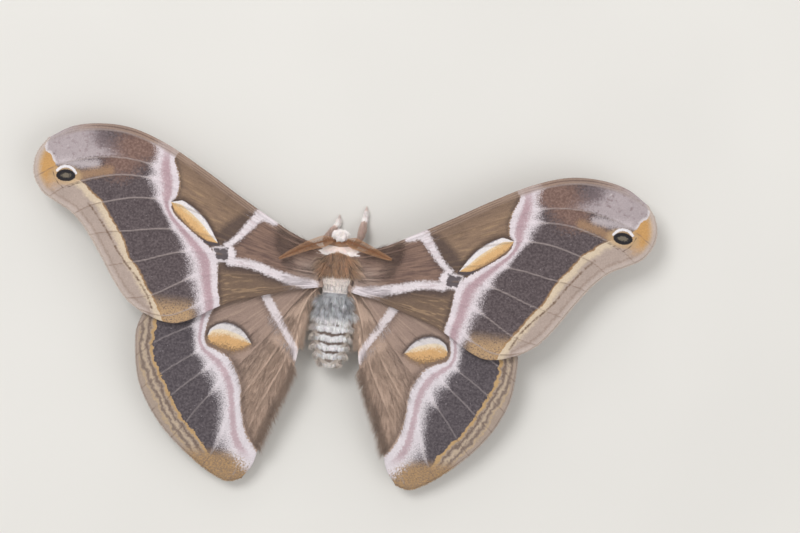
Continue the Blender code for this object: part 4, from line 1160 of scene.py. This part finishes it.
def make_wing_hairs(wing, zones, gap, fan=None):
    """Long hairs over a wing's base and inner field, in the markings' colours and clear of their edges."""
    drawn = [(RANDOM.uniform(*u_range, count), RANDOM.uniform(*v_range, count),
              length * RANDOM.uniform(0.6, 1.2, count), np.full(count, lift), np.full(count, mess))
             for count, u_range, v_range, length, lift, mess in zones]
    u, v, lengths, lifts, mess = (np.concatenate(part) for part in zip(*drawn))
    plan = wing.plan(u, v)
    values = wing.values(plan, u, v)
    clear = (values["white"] > lengths * gap) & (values["lunule"] > lengths * 0.5) & (values["band"] < -0.12)
    clear |= (values["white"] < 0) & (values["band"] < -0.1) & (v < 0.93)
    u, v, plan, lengths, lifts, mess = (part[clear] for part in (u, v, plan, lengths, lifts, mess))
    values = {key: value[clear] for key, value in values.items()}
    values["streak"] = values["streak"] + RANDOM.normal(0, 0.2 + 0.6 * mess, len(u))
    if fan is None:
        ahead = wing.plan(np.minimum(u + 0.01, 1.0), v)
    else:
        ahead = plan + 0.3 * unit(plan - fan)
        ahead[:, 0] -= 0.2 * smooth_step(v, 0.85, 1.0)
    roots = wing.top(plan, u)
    lies = unit(wing.top(ahead, u) - roots)
    lies[:, :2] += RANDOM.normal(0, 1, (len(u), 2)) * (0.05 + 0.15 * mess[:, None])
    make_tufts(wing.name + "_hairs", wing.material, roots, UP, lies, lengths, 0.022, lifts,
               values, bake_places(u, v), 0.2, 0.6)


def make_fringe(wing, count):
    """Short fringe of scales along the outer margin."""
    u, v = np.full(count, 0.998), np.linspace(0.0, 1.0, count)
    plan = wing.plan(u, v)
    roots = wing.top(plan, u)
    lies = unit((roots - wing.top(wing.plan(u - 0.02, v), u - 0.02)) * (1, 1, 0))
    lies[:, :2] += RANDOM.normal(0, 0.2, (count, 2))
    make_tufts(wing.name + "_fringe", wing.material, roots - (0.0, 0.0, 0.15), UP, lies,
               RANDOM.uniform(0.3, 0.6, count), 0.06, 0.05, wing.values(plan, u, v),
               bake_places(np.full(count, 0.96875), v), 0.2)


# Antennae and eyes

def make_antenna(name, path, side):
    """Segmented rachis with four rami to a segment, the longest in the middle."""
    line = side_line(path, side, 220)
    ahead, across, _ = line_frames(line, 2)
    swell = 1 + 0.12 * np.sin(np.linspace(0, ANTENNA_SEGMENTS * 2 * math.pi, 220))
    stem = tube_points(line[::2], (np.linspace(0.17, 0.06, 220) * swell)[::2], 8)
    points, faces, base = [stem], tube_faces(110, 8), len(stem)
    for k, edge, twin in itertools.product(range(ANTENNA_SEGMENTS), (-1, 1), (0, 1)):
        place = 0.1 + 0.88 * k / (ANTENNA_SEGMENTS - 1)
        index = min(int((place + twin * 0.008) * 219), 217)
        root, lean = line[index], ahead[index]
        length = 1.35 * min(1.0, place / 0.22) * (1.02 - place) ** 0.55 * (0.92 if twin else 1.0)
        tip = root + length * (edge * across[index] + (0.55 - 0.25 * twin) * lean + (0, 0, 0.28 - 0.3 * twin))
        middle = (root + tip) / 2 - 0.08 * (1 - twin) * lean + (0, 0, 0.05)
        points.append(tube_points(spline([root, middle, tip], 6), np.linspace(0.065, 0.045, 6), 5))
        faces += tube_faces(6, 5, base)
        base += 30
    along = np.concatenate([np.full(len(stem), 0.15),
                            np.tile(np.repeat(np.linspace(0.2, 1.0, 6), 5), 4 * ANTENNA_SEGMENTS)])
    new_piece(name + "_comb", np.concatenate(points), faces, ANTENNA, {"along": along},
              replaces=(name,))


def make_eyes():
    rings, sides = 28, 44
    polar, around = np.meshgrid(np.linspace(0.001, math.pi - 0.001, rings),
                                np.linspace(0, 2 * math.pi, sides, endpoint=False), indexing="ij")
    ball = np.stack([np.sin(polar) * np.cos(around), np.cos(polar), np.sin(polar) * np.sin(around)], axis=-1)
    for name, side in (("eye_left", -1), ("eye_right", 1)):
        points = ball.reshape(-1, 3) * EYE_RADII + np.multiply(EYE_CENTRE, (side, 1, 1))
        new_piece(name + "_facets", points, tube_faces(rings, sides), EYE, replaces=(name,))


# Studio

def make_studio():
    """Plain pale floor, soft light from all round and a camera straight above."""
    scene = bpy.context.scene
    paint = Paint("studio floor", (226, 224, 220))
    paint.paint(((222, 220, 216), paint.edge(paint.noise(60.0), -1, 1)))
    mesh = bpy.data.meshes.new("floor")
    corners = [(FLOOR_HALF * x, FLOOR_HALF * y, FLOOR_LEVEL) for x, y in ((-1, -1), (1, -1), (1, 1), (-1, 1))]
    mesh.from_pydata(corners, [], [(0, 1, 2, 3)])
    mesh.materials.append(paint.finish(0.9, 0.1))
    place_object("floor", mesh)

    scene.world = bpy.data.worlds.new("studio")
    scene.world.use_nodes = True
    background = scene.world.node_tree.nodes["Background"]
    background.inputs["Color"].default_value = (1.0, 0.99, 0.97, 1.0)
    background.inputs["Strength"].default_value = 0.58

    for name, place, size, power in (("key", (-0.35, 0.35, 0.75), 0.4, 3.7),
                                     ("fill", (0.6, -0.2, 0.6), 0.7, 1.7),
                                     ("front", (0.0, 0.9, 0.25), 0.5, 1.0)):
        light = bpy.data.lights.new(name, "AREA")
        light.size = size
        light.energy = power
        x, y, z = place
        tilt, turn = math.atan2(math.hypot(x, y), z), math.atan2(-y, -x) - math.pi / 2
        place_object(name, light, place, (tilt, 0.0, turn))

    camera = bpy.data.cameras.new("camera")
    camera.sensor_width = 36.0
    camera.lens = camera.sensor_width * (CAMERA_HEIGHT - WING_LEVEL) / VIEW_WIDTH
    camera.clip_start = 0.01
    place = np.array([VIEW_CENTRE[0] + FRAME_SHIFT[0], VIEW_CENTRE[1] + FRAME_SHIFT[1], CAMERA_HEIGHT]) * MM
    scene.camera = place_object("camera", camera, place, (0, 0, math.radians(VIEW_LEAN)))
    scene.view_settings.view_transform = "Standard"


make_studio()
FORE, HIND = forewing_material(), hindwing_material()
COAT, SKIN, ANTENNA, EYE = coat_material(), skin_material(), antenna_material(), eye_material()

for side in ("left", "right"):
    wing = Wing("forewing_" + side, FOREWING, FOREWING_VEINS, forewing_fields, FORE)
    make_wing(wing, 150, 210)
    make_wing_hairs(wing, [(13000, (0.02, 0.34), (0.02, 0.98), 1.8, 0.08, 0.0),
                           (6000, (0.0, 0.14), (0.02, 0.98), 3.0, 0.12, 1.0)], 0.45)
    make_fringe(wing, 1500)
for side in ("left", "right"):
    wing = Wing("hindwing_" + side, HINDWING, HINDWING_VEINS, hindwing_fields, HIND)
    make_wing(wing, 140, 190)
    make_wing_hairs(wing, [(14000, (0.02, 0.85), (0.3, 0.99), 2.5, 0.06, 0.0),
                           (5000, (0.05, 0.93), (0.94, 0.999), 2.4, 0.08, 0.3)], 0.3, H_FAN)
    make_fringe(wing, 1300)

body_skin()
make_thorax_coat()
make_collar()
make_abdomen_coat()
make_head_coat()
make_leg_coats()
make_antenna("antenna_left", ANTENNA_LEFT, -1)
make_antenna("antenna_right", ANTENNA_RIGHT, 1)
make_eyes()
